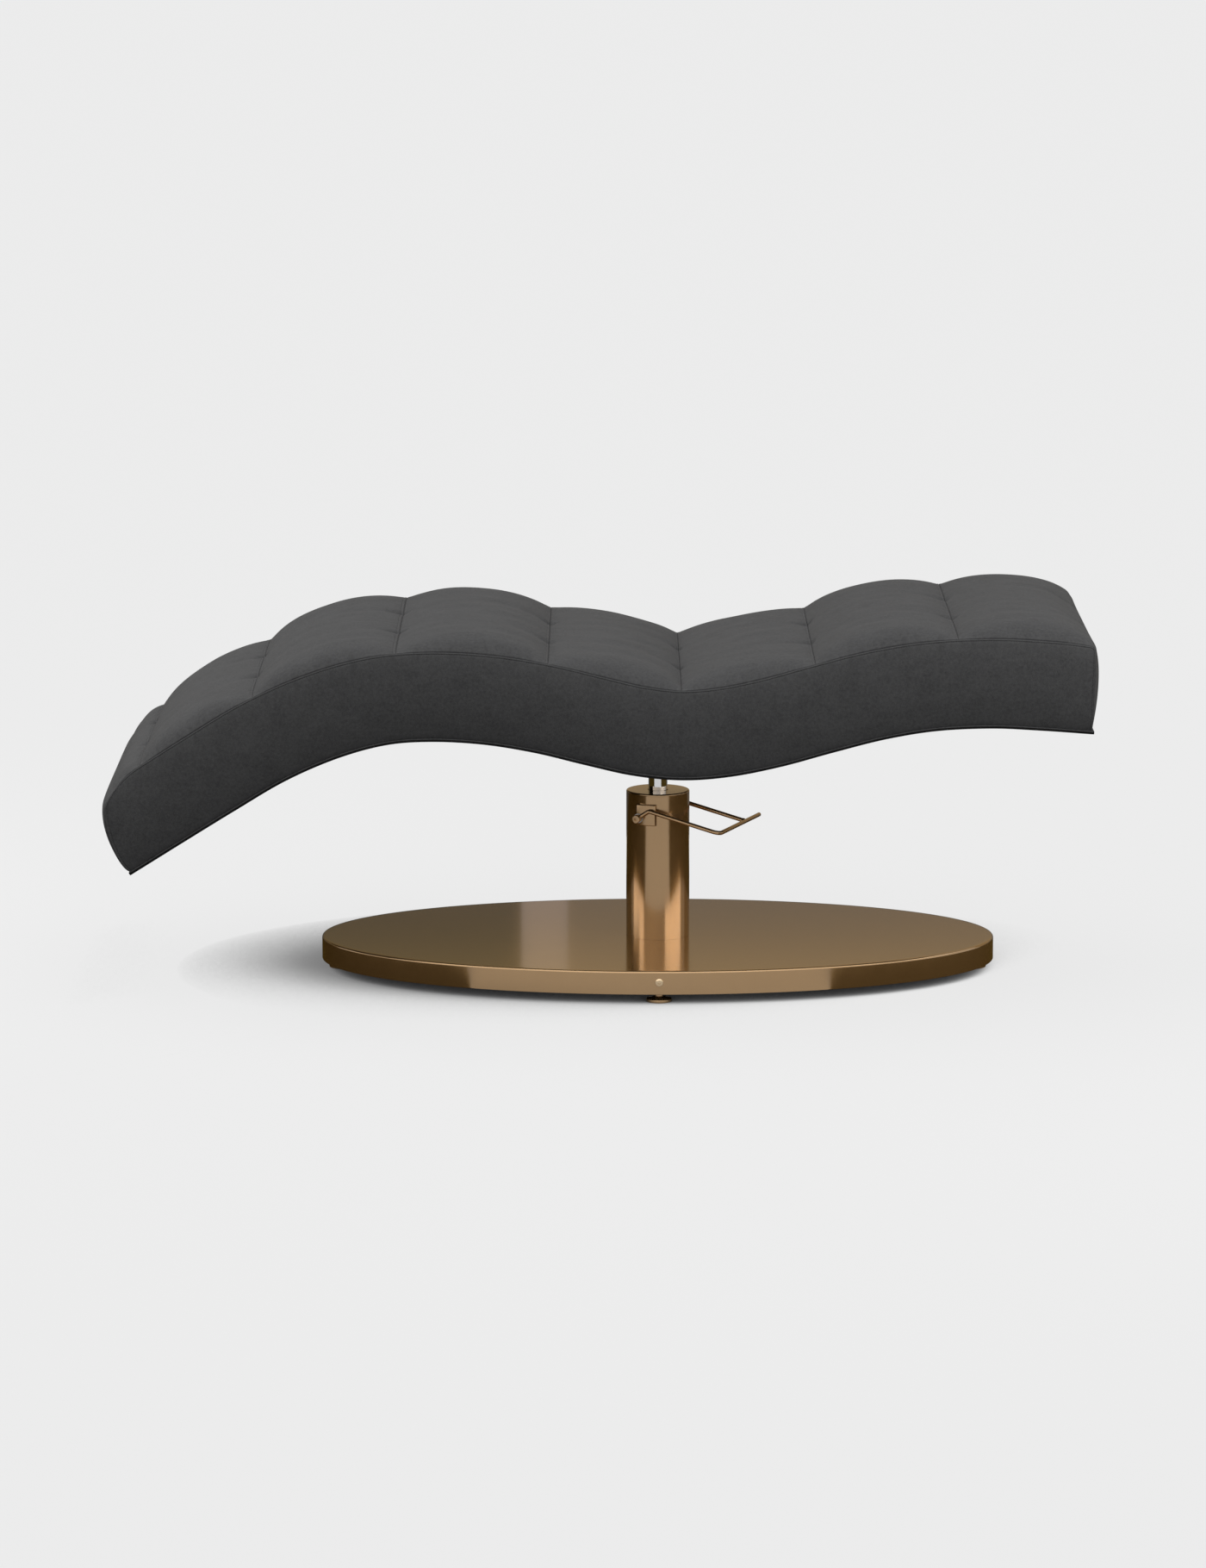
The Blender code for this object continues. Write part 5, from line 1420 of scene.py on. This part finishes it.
    def swell(self, cells: Array) -> Array:
        """How far the filling pushes the cover out: a cloth under pressure, held along its seams.

        A coarser copy of the cover is simulated and carried to the fine one.

        Args:
            cells: each point's place in the fine lattice.

        Returns:
            The move of each point.
        """
        marks = [self.snapped([step / count for step in range(count + 1)], targets)
                 for count, targets in zip(self.cloth_cuts, (self.seams, self.tufts(), ()))]
        bm, coarse = self.lattice(marks)
        u, v, w = self.shares(coarse, marks)
        start = self.place(u, v, w)
        move_points(bm, start)
        bmesh.ops.recalc_face_normals(bm, faces=bm.faces)
        sewn = np.isclose(u[:, None], self.seams).any(axis=1) & (w == 1)
        edges = (np.isin(v, (0, 1)) & ((w == 1) | np.isin(u, (0, 1)))) | (w < self.cloth_grip)
        moved = self.simulated(bm, np.flatnonzero(sewn | edges)) - start
        size = np.linalg.norm(moved, axis=1)
        moved *= (self.cloth_cap * np.tanh(size / self.cloth_cap) / np.maximum(size, MERGE))[:, None]
        moves = np.zeros((*(len(cuts) for cuts in marks), 3))
        moves[tuple(coarse.T)] = np.round(moved, 5)
        LOG.info("cloth: %d points, moved %.1f mm at most", len(start), 1000 * np.linalg.norm(moved, axis=1).max())
        fine = self.shares(cells, self.marks)
        return self.carried(moves, [np.interp(share, cuts, np.arange(len(cuts))) for share, cuts in zip(fine, marks)])

    @staticmethod
    def carried(moves: Array, spots: Sequence[Array]) -> Array:
        """Read a lattice of moves smoothly at places between its points.

        Args:
            moves: the move at each point of the lattice.
            spots: the places along, across and up, counted in the lattice's strips.

        Returns:
            The move at each place.
        """
        starts = [np.clip(np.floor(spot).astype(int), 0, moves.shape[axis] - 2) for axis, spot in enumerate(spots)]
        weights = [(-0.5 * t**3 + t**2 - 0.5 * t, 1.5 * t**3 - 2.5 * t**2 + 1, -1.5 * t**3 + 2 * t**2 + 0.5 * t,
                    0.5 * t**3 - 0.5 * t**2) for t in (spot - start for spot, start in zip(spots, starts))]
        total = np.zeros((len(spots[0]), 3))
        for steps in np.ndindex(4, 4, 4):
            share = weights[0][steps[0]] * weights[1][steps[1]] * weights[2][steps[2]]
            place = [np.clip(start + step - 1, 0, size - 1) for start, step, size in zip(starts, steps, moves.shape)]
            total += moves[tuple(place)] * share[:, None]
        return total

    def simulated(self, bm: Mesh, held: Array) -> Array:
        """Blow a closed cover out as a cloth.

        Args:
            bm: the cover, which is used up.
            held: the points that the seams hold in place.

        Returns:
            Each point's place when it has come to rest.
        """
        cover = placed("cloth", hardened("cloth", bm))
        mesh, scene = cover.data, bpy.context.scene
        cover.vertex_groups.new(name="held").add(held.tolist(), 1, "REPLACE")
        cloth = cover.modifiers.new("cloth", "CLOTH")
        for name, value in self.cloth_settings:
            setattr(cloth.settings, name, value)
        cloth.settings.vertex_group_mass = "held"
        cloth.settings.effector_weights.gravity = 0
        cloth.collision_settings.use_collision = False
        cloth.point_cache.frame_start, cloth.point_cache.frame_end = 1, self.cloth_frames
        for frame_number in range(1, self.cloth_frames + 1):
            scene.frame_set(frame_number)
        rested = cover.evaluated_get(bpy.context.evaluated_depsgraph_get()).to_mesh()
        places = points_of(rested).astype(float)
        bpy.data.objects.remove(cover, do_unlink=True)
        bpy.data.meshes.remove(mesh)
        scene.frame_set(1)
        return places

    def channel(self, u: Array) -> tuple[Array, Array, Array]:
        """The channel that each point is in, how far along it is (0 to 1), and the channel's length.

        Args:
            u: share of the length.

        Returns:
            The channels, the shares and the lengths.
        """
        edges = np.array([0.0, *self.seams, 1.0])
        index = np.clip(np.searchsorted(edges, u + MERGE, "right") - 1, 0, len(edges) - 2)
        size = edges[index + 1] - edges[index]
        return index, np.clip((u - edges[index]) / size, 0, 1), size * self.line.length

    def crown_height(self, u: Array, across: Array) -> Array:
        """How far the top stands over the seam line: the channels' crowns, the tufts and their folds.

        Args:
            u: share of the length.
            across: place across, from -1 to 1.

        Returns:
            The heights.
        """
        index, t, size = self.channel(u)
        low_end = np.where(index == 0, self.end_share, 1.0)
        side = 1 - np.abs(across) ** self.side_power
        height = self.crown * (1 - np.abs(2 * t - 1) ** self.crown_power) * low_end * side
        offset = (np.abs(across) - self.tuft) * self.half_width
        (wide, narrow), (start, end) = self.fold_width, self.fold_span
        toward = rise(t, start, 1.0)
        fold = bell(offset, wide - (wide - narrow) * toward) * toward * (1 - rise(t, end, 1.0))
        beside_tuft, beside_seam = self.pillow_reach
        pillow = (1 - bell(offset, beside_tuft)) * bell(np.minimum(t, 1 - t) * size, beside_seam)
        height = height + (self.pillow * pillow * side - self.fold_depth * fold) * low_end
        before, after, aside = self.tuft_reach
        for seam in self.seams:
            away = (u - seam) * self.line.length
            pull = bell(away, np.where(away < 0, before, after))
            height = height - self.tuft_depth * pull * bell(offset, aside)
        return height

    def place(self, u: Array, v: Array, w: Array) -> Array:
        """The cushion's points, before its seams are drawn in.

        Args:
            u: share of the length.
            v: share of the width.
            w: share of the thickness.

        Returns:
            One point for each.
        """
        across = 2 * v - 1
        lift = np.where(w > 1 - MERGE, self.crown_height(u, across), 0)
        u, w = self.bent_round(u, w)
        foot_fade = np.maximum(0, 1 - u / self.seams[1])
        head_fade = np.maximum(0, (u - self.seams[-1]) / (1 - self.seams[-1]))
        distance = self.line.length * u + self.foot_trim * w * foot_fade - self.head_trim * w * head_fade
        split = self.seam_from
        low = np.clip(1 - w / split, 0, 1) ** 2 * self.side_draw + self.tuck * np.clip(1 - w / self.tuck_to, 0, 1) ** 2
        high = np.clip((w - split) / (1 - split), 0, 1) ** 3 * self.seam_inset
        height = self.floor + (self.thickness - self.floor) * w
        at_foot = np.maximum(0, 1 - u / self.seams[0]) ** 2
        height = height - self.shoulder * w**4 * (at_foot + self.head_shoulder * head_fade**6)
        corner = np.abs(across) ** self.corner_power
        thin = self.foot_thin * np.clip(1 - u / self.thin_to, 0, 1) ** 2
        height = height - w**2 * (self.edge_drop * corner + thin)
        points = self.line.place(distance, (self.half_width - low - high) * across, height + lift)
        swell = np.sin(np.pi * np.clip(w, 0, 1)) ** self.belly_power
        foot_ramp = np.clip(1 - u * self.line.length / self.foot_zone, 0, 1)
        head_ramp = np.clip(1 - (1 - u) * self.line.length / self.head_zone, 0, 1)
        points[..., 0] -= swell * (self.foot_bulge - self.foot_puff * corner) * foot_ramp
        points[..., 0] += swell * (self.head_bulge - self.head_puff * corner) * head_ramp
        return points

    def bent_round(self, u: Array, w: Array) -> tuple[Array, Array]:
        """Carry the shares of length and thickness round the bends where the cover wraps over the two ends.

        Args:
            u: share of the length.
            w: share of the thickness.

        Returns:
            The new shares.
        """
        away = [u * self.line.length, (1 - u) * self.line.length]
        down = (1 - w) * self.thickness
        for end, radius in enumerate((self.foot_bend, self.head_bend)):
            over, under = 1 - away[end] / radius, 1 - down / radius
            inside = (over > 0) & (under > 0)
            most = np.where(inside, np.maximum(over, under), 1)
            angle = np.where(inside, np.minimum(over, under) / most, 0) * math.pi / 4
            lead, lag = most * np.cos(angle), most * np.sin(angle)
            steep = over > under
            away[end] = np.where(inside, radius * (1 - np.where(steep, lead, lag)), away[end])
            down = np.where(inside, radius * (1 - np.where(steep, lag, lead)), down)
        u = np.where(u < 0.5, away[0] / self.line.length, 1 - away[1] / self.line.length)
        return u, 1 - down / self.thickness

    def folds(self, u: Array, v: Array, w: Array) -> Array:
        """Small uneven waves of the cover, so that no two channels are the same.

        Args:
            u: share of the length.
            v: share of the width.
            w: share of the thickness.

        Returns:
            The move of each point.
        """
        top = np.where(w > 1 - MERGE, 1.0, 0.0)
        free = (1 - np.abs(2 * self.channel(u)[1] - 1) ** 4) * (1 - np.abs(2 * v - 1) ** 8)
        x, y = u * self.line.length, v * 2 * self.half_width
        waves = np.zeros_like(u)
        rng = np.random.default_rng(self.wave_seed)
        for _ in range(self.waves):
            angle = rng.normal(math.pi / 2, self.wave_turn)
            size = rng.uniform(*self.wave_sizes)
            phase = rng.uniform(0, math.tau)
            waves += np.sin(math.tau * (x * math.cos(angle) + y * math.sin(angle)) / size + phase) * size
        shift = np.zeros((*u.shape, 3))
        shift[..., 2] = waves * self.wave_share * free * top
        belly = np.sin(np.pi * np.clip(w, 0, 1)) * (1 - top)
        sides = sum(share * np.sin(x * rate + w * lean + start) for share, rate, lean, start in self.side_waves)
        on_side = np.abs(2 * v - 1) > 1 - MERGE
        shift[..., 1] = np.where(on_side, np.sign(2 * v - 1) * sides * self.side_wave * belly, 0)
        return shift

    def seam_depths(self, u: Array, v: Array, w: Array) -> tuple[Array, Array]:
        """How deep the cover is drawn in at each point by its seams and rows, and how much it is rubbed there.

        Args:
            u: share of the length.
            v: share of the width.
            w: share of the thickness.

        Returns:
            The depths in metres, below zero where the cover stands proud, and the rubbing from 0 to 1.
        """
        length, width = self.line.length, 2 * self.half_width
        near_side, near_end = np.minimum(v, 1 - v) * width, np.minimum(u, 1 - u) * length
        below = (1 - w) * self.thickness
        top, on_side = w > 1 - MERGE, near_side < MERGE
        beside, upright = on_side & ~top, ~top & (w > MERGE)
        depth, rub = np.zeros_like(u), np.zeros_like(u)
        for seam in self.seams:
            away = (seam - u) * length
            gathers = sum(bell(away - middle, reach) for middle, reach in self.cross_gathers)
            gathers *= self.pucker * self.ripple(v * width, seam * self.seam_turn)
            depth += top * (self.groove * self.cross_trace.drawn(away, self.cross_row) + gathers)
            rub += top * hump(away - self.cross_row / 2, self.cross_wear)
        edge = np.where(beside, below, near_side)
        depth += (top | beside) * self.groove * self.side_trace.drawn(edge, self.row, beside)
        (over, over_reach), (under, under_reach) = self.top_gathers, self.side_gathers
        gathers = top * bell(near_side - over, over_reach) + beside * bell(below - under, under_reach)
        depth += self.pucker * self.ripple(u * length, self.side_turn) * gathers
        rub += top * hump(edge, self.top_wear)
        rub += beside * (hump(below - self.row / 2, self.row_wear) + hump(below - under, self.side_wear))
        corner = np.where(on_side, near_end, near_side)
        depth += upright * self.groove * self.corner_trace.drawn(corner, self.row, on_side)
        rub += upright * hump(corner, self.corner_wear)
        return depth, np.clip(rub, 0, 1)

    def ripple(self, along: Array, start: float) -> Array:
        """The uneven gathers that a row of stitches leaves in the hide.

        Args:
            along: the distance along the row.
            start: where its pattern starts, so that no two rows are alike.

        Returns:
            The height of the gathers at each point, from -1 to 1.
        """
        return sum(size * np.sin(math.tau * along / pitch + start * turn) for size, pitch, turn in self.gathers)

    def sew(self, mesh: bpy.types.Mesh, depth: Array, rub: Array) -> None:
        """Draw the seams into the finished cushion and note where the cover is rubbed and where painted shade darkens
        its grooves.

        Args:
            mesh: the cushion's mesh.
            depth: how deep each point is drawn in.
            rub: how much it is rubbed.
        """
        move_points(mesh, points_of(mesh) - points_of(mesh, "normal") * depth[:, None])
        # Painted shade: the deeper a point is drawn into a groove, the darker the hide is coloured there.
        groove_shading = np.clip(depth / self.groove, 0, 1) * self.groove_shade_strength
        for name, values in (("wear", rub), ("groove_shade", groove_shading)):
            layer = mesh.attributes.new(name, "FLOAT", "POINT")
            layer.data.foreach_set("value", values.astype(np.float32))

    def set_length(self, mesh: bpy.types.Mesh) -> None:
        """Draw the ends out or in, so that the cushion is as long as its solid.

        Args:
            mesh: the cushion's mesh.
        """
        places = points_of(mesh)
        for side, zone in ((-1, self.foot_zone), (1, self.head_zone)):
            reach = (places[:, 0] * side).max()
            nearness = np.clip(1 - (reach - places[:, 0] * side) / zone, 0, 1)
            places[:, 0] += side * (self.half_length - reach) * nearness
        move_points(mesh, places)

    def rows(self, cells: Array) -> list[Array]:
        """The points that each row of stitches runs through, as lists of the mesh's vertices.

        Args:
            cells: each vertex's place in the lattice.

        Returns:
            The rows.
        """
        length = self.line.length
        along, across, up = cells.T
        widest, highest = (len(self.marks[axis]) - 1 for axis in (1, 2))
        level = self.nearest(2, 1 - self.row / self.thickness)
        chosen = [((up == highest) & (along == self.nearest(0, seam - self.cross_row / length)), across)
                  for seam in self.seams]
        chosen += [((up == level) & (across == side), along) for side in (0, widest)]
        chosen += [((up > 0) & (up < level) & (across == side) & (along == self.nearest(0, share)), up)
                   for side in (0, widest) for share in (self.row / length, 1 - self.row / length)]
        found = [(np.flatnonzero(picked), order) for picked, order in chosen]
        return [verts[np.argsort(order[verts])] for verts, order in found]

    def nearest(self, axis: int, share: float) -> int:
        """The index of the cut nearest a share, along (0), across (1) or up (2)."""
        return int(np.argmin(np.abs(np.array(self.marks[axis]) - share)))

    def stitch(self, bench: Bench, mesh: bpy.types.Mesh, cells: Array) -> None:
        """Lay a stitch of thread at every pitch along each row.

        Args:
            bench: the bench that keeps the piece.
            mesh: the cushion's mesh.
            cells: each vertex's place in the lattice.
        """
        places, normals = points_of(mesh).astype(float), points_of(mesh, "normal").astype(float)
        pattern, shape = self.one_stitch()
        whole, laid = bmesh.new(), []
        for row in self.rows(cells):
            track, facing = places[row], normals[row]
            run = np.concatenate([[0], np.cumsum(np.linalg.norm(np.diff(track, axis=0), axis=1))])
            for start in np.arange(self.pitch, run[-1] - self.pitch, self.pitch):
                one, middle, two, out = (
                    np.array([np.interp(start + self.stitch_length * share, run, values[:, k]) for k in range(3)])
                    for share, values in ((0, track), (0.5, track), (1, track), (0.5, facing)))
                along = (two - one) / np.linalg.norm(two - one)
                aside = np.cross(along, out)
                aside /= np.linalg.norm(aside)
                laid.append(middle + shape @ np.stack([aside, np.cross(aside, along), along]))
                whole.from_mesh(pattern)
        move_points(whole, np.concatenate(laid))
        bpy.data.meshes.remove(pattern)
        bmesh.ops.recalc_face_normals(whole, faces=whole.faces)
        bench.set_down("seam_stitching", whole, Thread(), Body.BED, shade=Shade.SMOOTH)
        LOG.info("stitches: %d", len(laid))

    def one_stitch(self) -> tuple[bpy.types.Mesh, Array]:
        """One stitch along its own Z, both its ends dipping into the hide, as a mesh and as its points.

        Returns:
            The mesh and the points.
        """
        bm = bmesh.new()
        bmesh.ops.create_uvsphere(bm, u_segments=5, v_segments=4, radius=1)
        bmesh.ops.scale(bm, vec=(self.thread, self.thread, self.stitch_length / 2), verts=bm.verts)
        shape = np.array([vert.co for vert in bm.verts])
        ends = (shape[:, 2] * 2 / self.stitch_length) ** 2
        shape[:, 1] += self.thread * (self.thread_lift - self.thread_dip * ends)
        return hardened("stitch", bm), shape


# ---- under the cushion


@dataclass
class Underside:
    """The bent board that closes the bed below, the swivel under it and the frame inside."""

    line: BedLine = field(default_factory=BedLine)
    half_width: float = 0.3490
    thickness: float = 0.006
    lip: float = 0.003
    edge: float = 0.0012
    corner_angle: float = 60
    strips: int = 220
    bead_out: float = 0.3494
    bead_radius: float = 0.0013
    bead_lip: float = 0.001
    bead_rise: float = 0.6
    bead_sides: int = 8
    bead_ends: Pair = (0.02, 0.98)
    bead_end_steps: int = 24
    hub_body: float = 0.028
    hub_bore: float = 0.0125
    hub_chamfer: float = 0.0008
    hub_flange: float = 0.006
    hub_flange_chamfer: float = 0.001
    hub_fillet: Pair = (0.003, 0.0009)
    hub_sides: int = 96

    def build(self, bench: Bench) -> None:
        """Make the board, its edge bead and the hub, and finish the plates, bolts and frame.

        Args:
            bench: the bench that finishes and keeps the pieces.
        """
        bench.set_down("underside_board", self.board(), BOARD, Body.BED, "bottom_board")
        bench.set_down("edge_bead", self.bead(), Nubuck(), Body.BED, shade=Shade.SMOOTH)
        bench.set_down("swivel_hub_turned", self.hub(), BLACK, Body.BED, "swivel_hub")
        bench.keep(BLACK, "seat_plate")
        bench.keep(STEEL, seat_bolt=4)
        bench.keep(Ply(), "mount_block", "side_rib_near", "side_rib_far", "foam_deck", cross_rail=6)

    def board(self) -> Mesh:
        """The bent board, a little longer than the line and narrower than the cushion.

        Returns:
            The mesh.
        """
        bm = cut_cube((self.strips, 1, 1))
        cube = np.array([vert.co for vert in bm.verts])
        distance = cube[:, 0] * (self.line.length + 2 * self.lip) - self.lip
        move_points(bm, self.line.place(distance, self.half_width * (2 * cube[:, 1] - 1), cube[:, 2] * self.thickness))
        outwards(bm)
        corners = [edge for edge in bm.edges
                   if len(edge.link_faces) == 2 and edge.calc_face_angle(0) > math.radians(self.corner_angle)]
        return bevelled(bm, corners, self.edge, 2)

    def bead(self) -> Mesh:
        """The thin turned edge of the cover, which shows as a pale line over the board.

        Returns:
            The mesh.
        """
        distances = np.linspace(-self.bead_lip, self.line.length + self.bead_lip, self.strips)
        height = np.full_like(distances, self.thickness - self.bead_radius * self.bead_rise)
        near, far = ([Vector(point) for point in
                      self.line.place(distances, np.full_like(distances, side * self.bead_out), height)]
                     for side in (-1, 1))
        head, foot = ([start.lerp(end, share) for share in np.linspace(*self.bead_ends, self.bead_end_steps)]
                      for start, end in ((near[-1], far[-1]), (far[0], near[0])))
        loop = [*near, *head, *reversed(far), *foot, near[0]]
        return swept(loop, [self.bead_radius] * len(loop), self.bead_sides)

    def hub(self) -> Mesh:
        """The turned hub and its flange.

        Returns:
            The mesh.
        """
        low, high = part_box("swivel_hub")
        flange, body, bore = (high.x - low.x) / 2, self.hub_body, self.hub_bore
        roof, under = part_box("lift_piston")[1].z + GAP, high.z - self.hub_flange
        edge, chamfer, (fillet, hollow) = self.hub_flange_chamfer, self.hub_chamfer, self.hub_fillet
        profile = [(0, high.z), (flange, high.z), (flange, under + edge), (flange - edge, under),
                   (body + fillet, under), (body + hollow, under - hollow), (body, under - fillet),
                   (body, low.z + chamfer), (body - chamfer, low.z), (bore, low.z), (bore, roof), (0, roof)]
        return spun(profile, self.hub_sides, shifted(CENTRE_X, 0, 0))


# ---- the studio


@dataclass(frozen=True)
class Card:
    """A glowing card that glossy rays alone meet, which may fade from one colour to another as it rises.

    A first reflection shows only a share of it where first is below 1, so that no view of the base is blown out.
    """

    name: str
    middle: Triple
    facing: Triple
    size: Pair
    low: Triple
    high: Triple | None = None
    fade: Pair = (0.23, 0.43)
    turn: float = 0.0
    first: float = 1.0

    def hang(self) -> None:
        """Make the card and hang it in the studio."""
        bm = bmesh.new()
        bmesh.ops.create_grid(bm, x_segments=1, y_segments=1, size=0.5)
        bmesh.ops.scale(bm, vec=(*self.size, 1), verts=bm.verts)
        stand = Vector(self.facing).to_track_quat("Z", "Y").to_matrix().to_4x4()
        bm.transform(Matrix.Translation(self.middle) @ stand @ Matrix.Rotation(math.radians(self.turn), 4, "Z"))
        card = placed(self.name, hardened(self.name, bm))
        card.data.materials.append(self.glow())
        card.visible_camera = card.visible_diffuse = card.visible_shadow = card.visible_transmission = False

    def glow(self) -> bpy.types.Material:
        """Make the card's own light.

        Returns:
            The glowing material.
        """
        n = Nodes(bpy.data.materials.new(self.name))
        light = {"Color": self.low}
        if self.first < 1:
            light["Strength"] = n.spread(n.node("LightPath", {}, "Ray Depth"), 1, 2, self.first, 1)
        if self.high:
            height = n.node("SeparateXYZ", {"Vector": n.place()}, "Z")
            light["Color"] = n.blend(n.spread(height, *self.fade), self.low, self.high)
        n.feed(n.tree.nodes["Material Output"].inputs["Surface"], n.node("Emission", light))
        return n.holder


@dataclass
class Studio:
    """The pale floor, the soft light and the camera at the photograph's angle."""

    pale: float = 0.838
    lift: float = 0.90
    floor_reach: float = 70
    shade_samples: int = 24
    # The painted contact shadow on the floor: the leaned occlusion, its ramp, and the upright occlusion under the
    # base.
    contact_reach: float = 0.28
    contact_lean: Triple = (0.75, -0.70, -0.15)
    contact_stops: tuple[Pair, ...] = (
        (0.60, 0.25), (0.75, 0.32), (0.85, 0.44), (0.92, 0.61), (0.955, 0.79), (0.98, 0.93), (1.0, 1.0))
    under_reach: float = 0.12
    under_span: Pair = (0.03, 0.20)
    darkest: float = 0.015
    bounce: float = 0.08
    ambient: float = 0.24
    key: float = 2.38
    key_from: Triple = (-0.12, -0.26, 1.0)
    key_width: float = 120
    fills: tuple[tuple[str, Triple, Triple, float], ...] = (
        ("head_fill", (2.2, -1.6, 1.2), (0.5, -0.35, 0.55), 13.0),
        ("foot_fill", (-2.3, 0.6, 1.6), (-0.6, 0.0, 0.45), 14.0))
    fill_size: float = 1.2
    camera_place: Triple = (0.0048, -11.8155, 2.4695)
    camera_tilt: float = 79.847
    lens: float = 145.25
    sensor: float = 36
    farthest: float = 200
    # Painted reflections: glowing cards that only glossy rays meet put dark golden floor zones beside the base, dim
    # bands behind it and two bright strips into the metal's reflections.
    cards: tuple[Card, ...] = (
        Card("floor_card_left", (-2.024, -0.029, 0.002), (0, 0, 1), (4.0, 3.0), (0.05, 0.032, 0.006), turn=48),
        Card("floor_card_right", (2.181, -0.136, 0.002), (0, 0, 1), (3.0, 4.0), (0.07, 0.045, 0.009), turn=37),
        Card("back_card_left", (-1.684, 1.30, 0.65), (0, -1, 0), (3.032, 1.3), (0.102, 0.104, 0.104),
             (0.210, 0.178, 0.104)),
        Card("back_card_right", (1.565, 1.30, 0.65), (0, -1, 0), (3.27, 1.3), (0.192, 0.190, 0.192),
             (0.405, 0.328, 0.212)),
        Card("back_strip", (-0.119, 1.33, 0.65), (0, -1, 0), (0.16, 1.3), (0.335, 0.325, 0.360),
             (0.555, 0.465, 0.338)),
        Card("side_light_left", (-2.02, -0.57, 0.46), (0.966, 0.259, 0), (1.87, 0.42), (3.8, 3.8, 3.8), first=0.3),
        Card("side_light_right", (1.98, -1.17, 0.46), (-0.848, 0.53, 0), (2.8, 0.42), (4.4, 4.4, 4.4), first=0.3))

    def build(self) -> None:
        """Set the world, the floor, the lamps, the cards and the camera."""
        self.world()
        self.floor()
        self.lamp("key_light", "SUN", self.key_from, (0, 0, 0), self.key, angle=math.radians(self.key_width))
        for name, place, aim, power in self.fills:
            self.lamp(name, "AREA", place, aim, power, size=self.fill_size).visible_glossy = False
        for card in self.cards:
            card.hang()
        self.camera()
        bpy.context.scene.view_settings.view_transform = "Standard"

    def world(self) -> None:
        """An even pale surround, dimmer as light than as background."""
        n = Nodes(bpy.data.worlds.new("studio"))
        bpy.context.scene.world = n.holder
        background = n.tree.nodes["Background"]
        n.feed(background.inputs["Color"], (1, 1, 1))
        n.feed(background.inputs["Strength"], n.spread(n.seen(), 0, 1, self.ambient, self.pale))

    def floor(self) -> None:
        """A plain pale floor that bounces less light than it shows, darkened around what stands on it by a painted
        contact shadow.
        """
        n = Nodes(bpy.data.materials.new("studio_floor"))
        near, seen = self.contact_shade(n), n.seen()
        lit = n.multiply(near, self.pale * (1 - self.lift))
        n.surface(Roughness=1.0, Specular_IOR_Level=0.0, Base_Color=n.blend(seen, (self.bounce,) * 3, lit),
                  Emission_Color=(1, 1, 1),
                  Emission_Strength=n.multiply(n.multiply(near, seen), self.pale * self.lift))
        bm = bmesh.new()
        bmesh.ops.create_grid(bm, x_segments=1, y_segments=1, size=self.floor_reach)
        floor = placed("studio_floor", hardened("studio_floor", bm))
        floor.data.materials.append(n.holder)

    def contact_shade(self, n: Nodes) -> Socket:
        """A painted contact shadow: how bright the floor stays close to what stands on it, from occlusion leaned to
        one side through a ramp, and darker under the base.

        Args:
            n: the floor's nodes.

        Returns:
            The socket that holds it.
        """
        lean = n.node("CombineXYZ", dict(zip("XYZ", self.contact_lean)))
        beside = n.node("AmbientOcclusion", {"Distance": self.contact_reach, "Normal": lean}, "AO",
                        samples=self.shade_samples)
        ramp = n.node("ValToRGB", {"Fac": beside}, "Color")
        stops = ramp.node.color_ramp.elements
        while len(stops) < len(self.contact_stops):
            stops.new(0.5)
        for stop, (position, value) in zip(stops, self.contact_stops):
            stop.position = position
            stop.color = (value, value, value, 1)
        above = n.node("AmbientOcclusion", {"Distance": self.under_reach}, "AO", samples=self.shade_samples)
        return n.multiply(ramp, n.spread(above, *self.under_span, self.darkest))

    @staticmethod
    def lamp(name: str, kind: str, place: Triple, aim: Triple, power: float, **settings: float) -> bpy.types.Object:
        """Hang a lamp.

        Args:
            name: the lamp's name.
            kind: SUN for a broad even light, or AREA for a square softbox.
            place: where it hangs, or where a sun's light comes from.
            aim: the point that it is turned to.
            power: its strength.
            settings: its own settings.

        Returns:
            The lamp's object.
        """
        data = bpy.data.lights.new(name, kind)
        data.energy = power
        for key, value in settings.items():
            setattr(data, key, value)
        lamp = placed(name, data)
        lamp.location = place
        lamp.rotation_euler = (Vector(place) - Vector(aim)).to_track_quat("Z", "Y").to_euler()
        return lamp

    def camera(self) -> None:
        """The camera, as the photograph was taken."""
        data = bpy.data.cameras.new("camera")
        data.lens, data.sensor_width, data.clip_end = self.lens, self.sensor, self.farthest
        camera = placed("camera", data)
        camera.location = self.camera_place
        camera.rotation_euler = (math.radians(self.camera_tilt), 0, 0)
        bpy.context.scene.camera = camera


def main() -> None:
    """Build the studio and every sub-assembly in order."""
    logging.basicConfig(level=logging.INFO, format="%(name)s %(message)s")
    bench = Bench()
    Studio().build()
    for assembly in (Base(), Column(), Lever(), Underside(), Cushion()):
        assembly.build(bench)


if __name__ == "__main__":
    main()
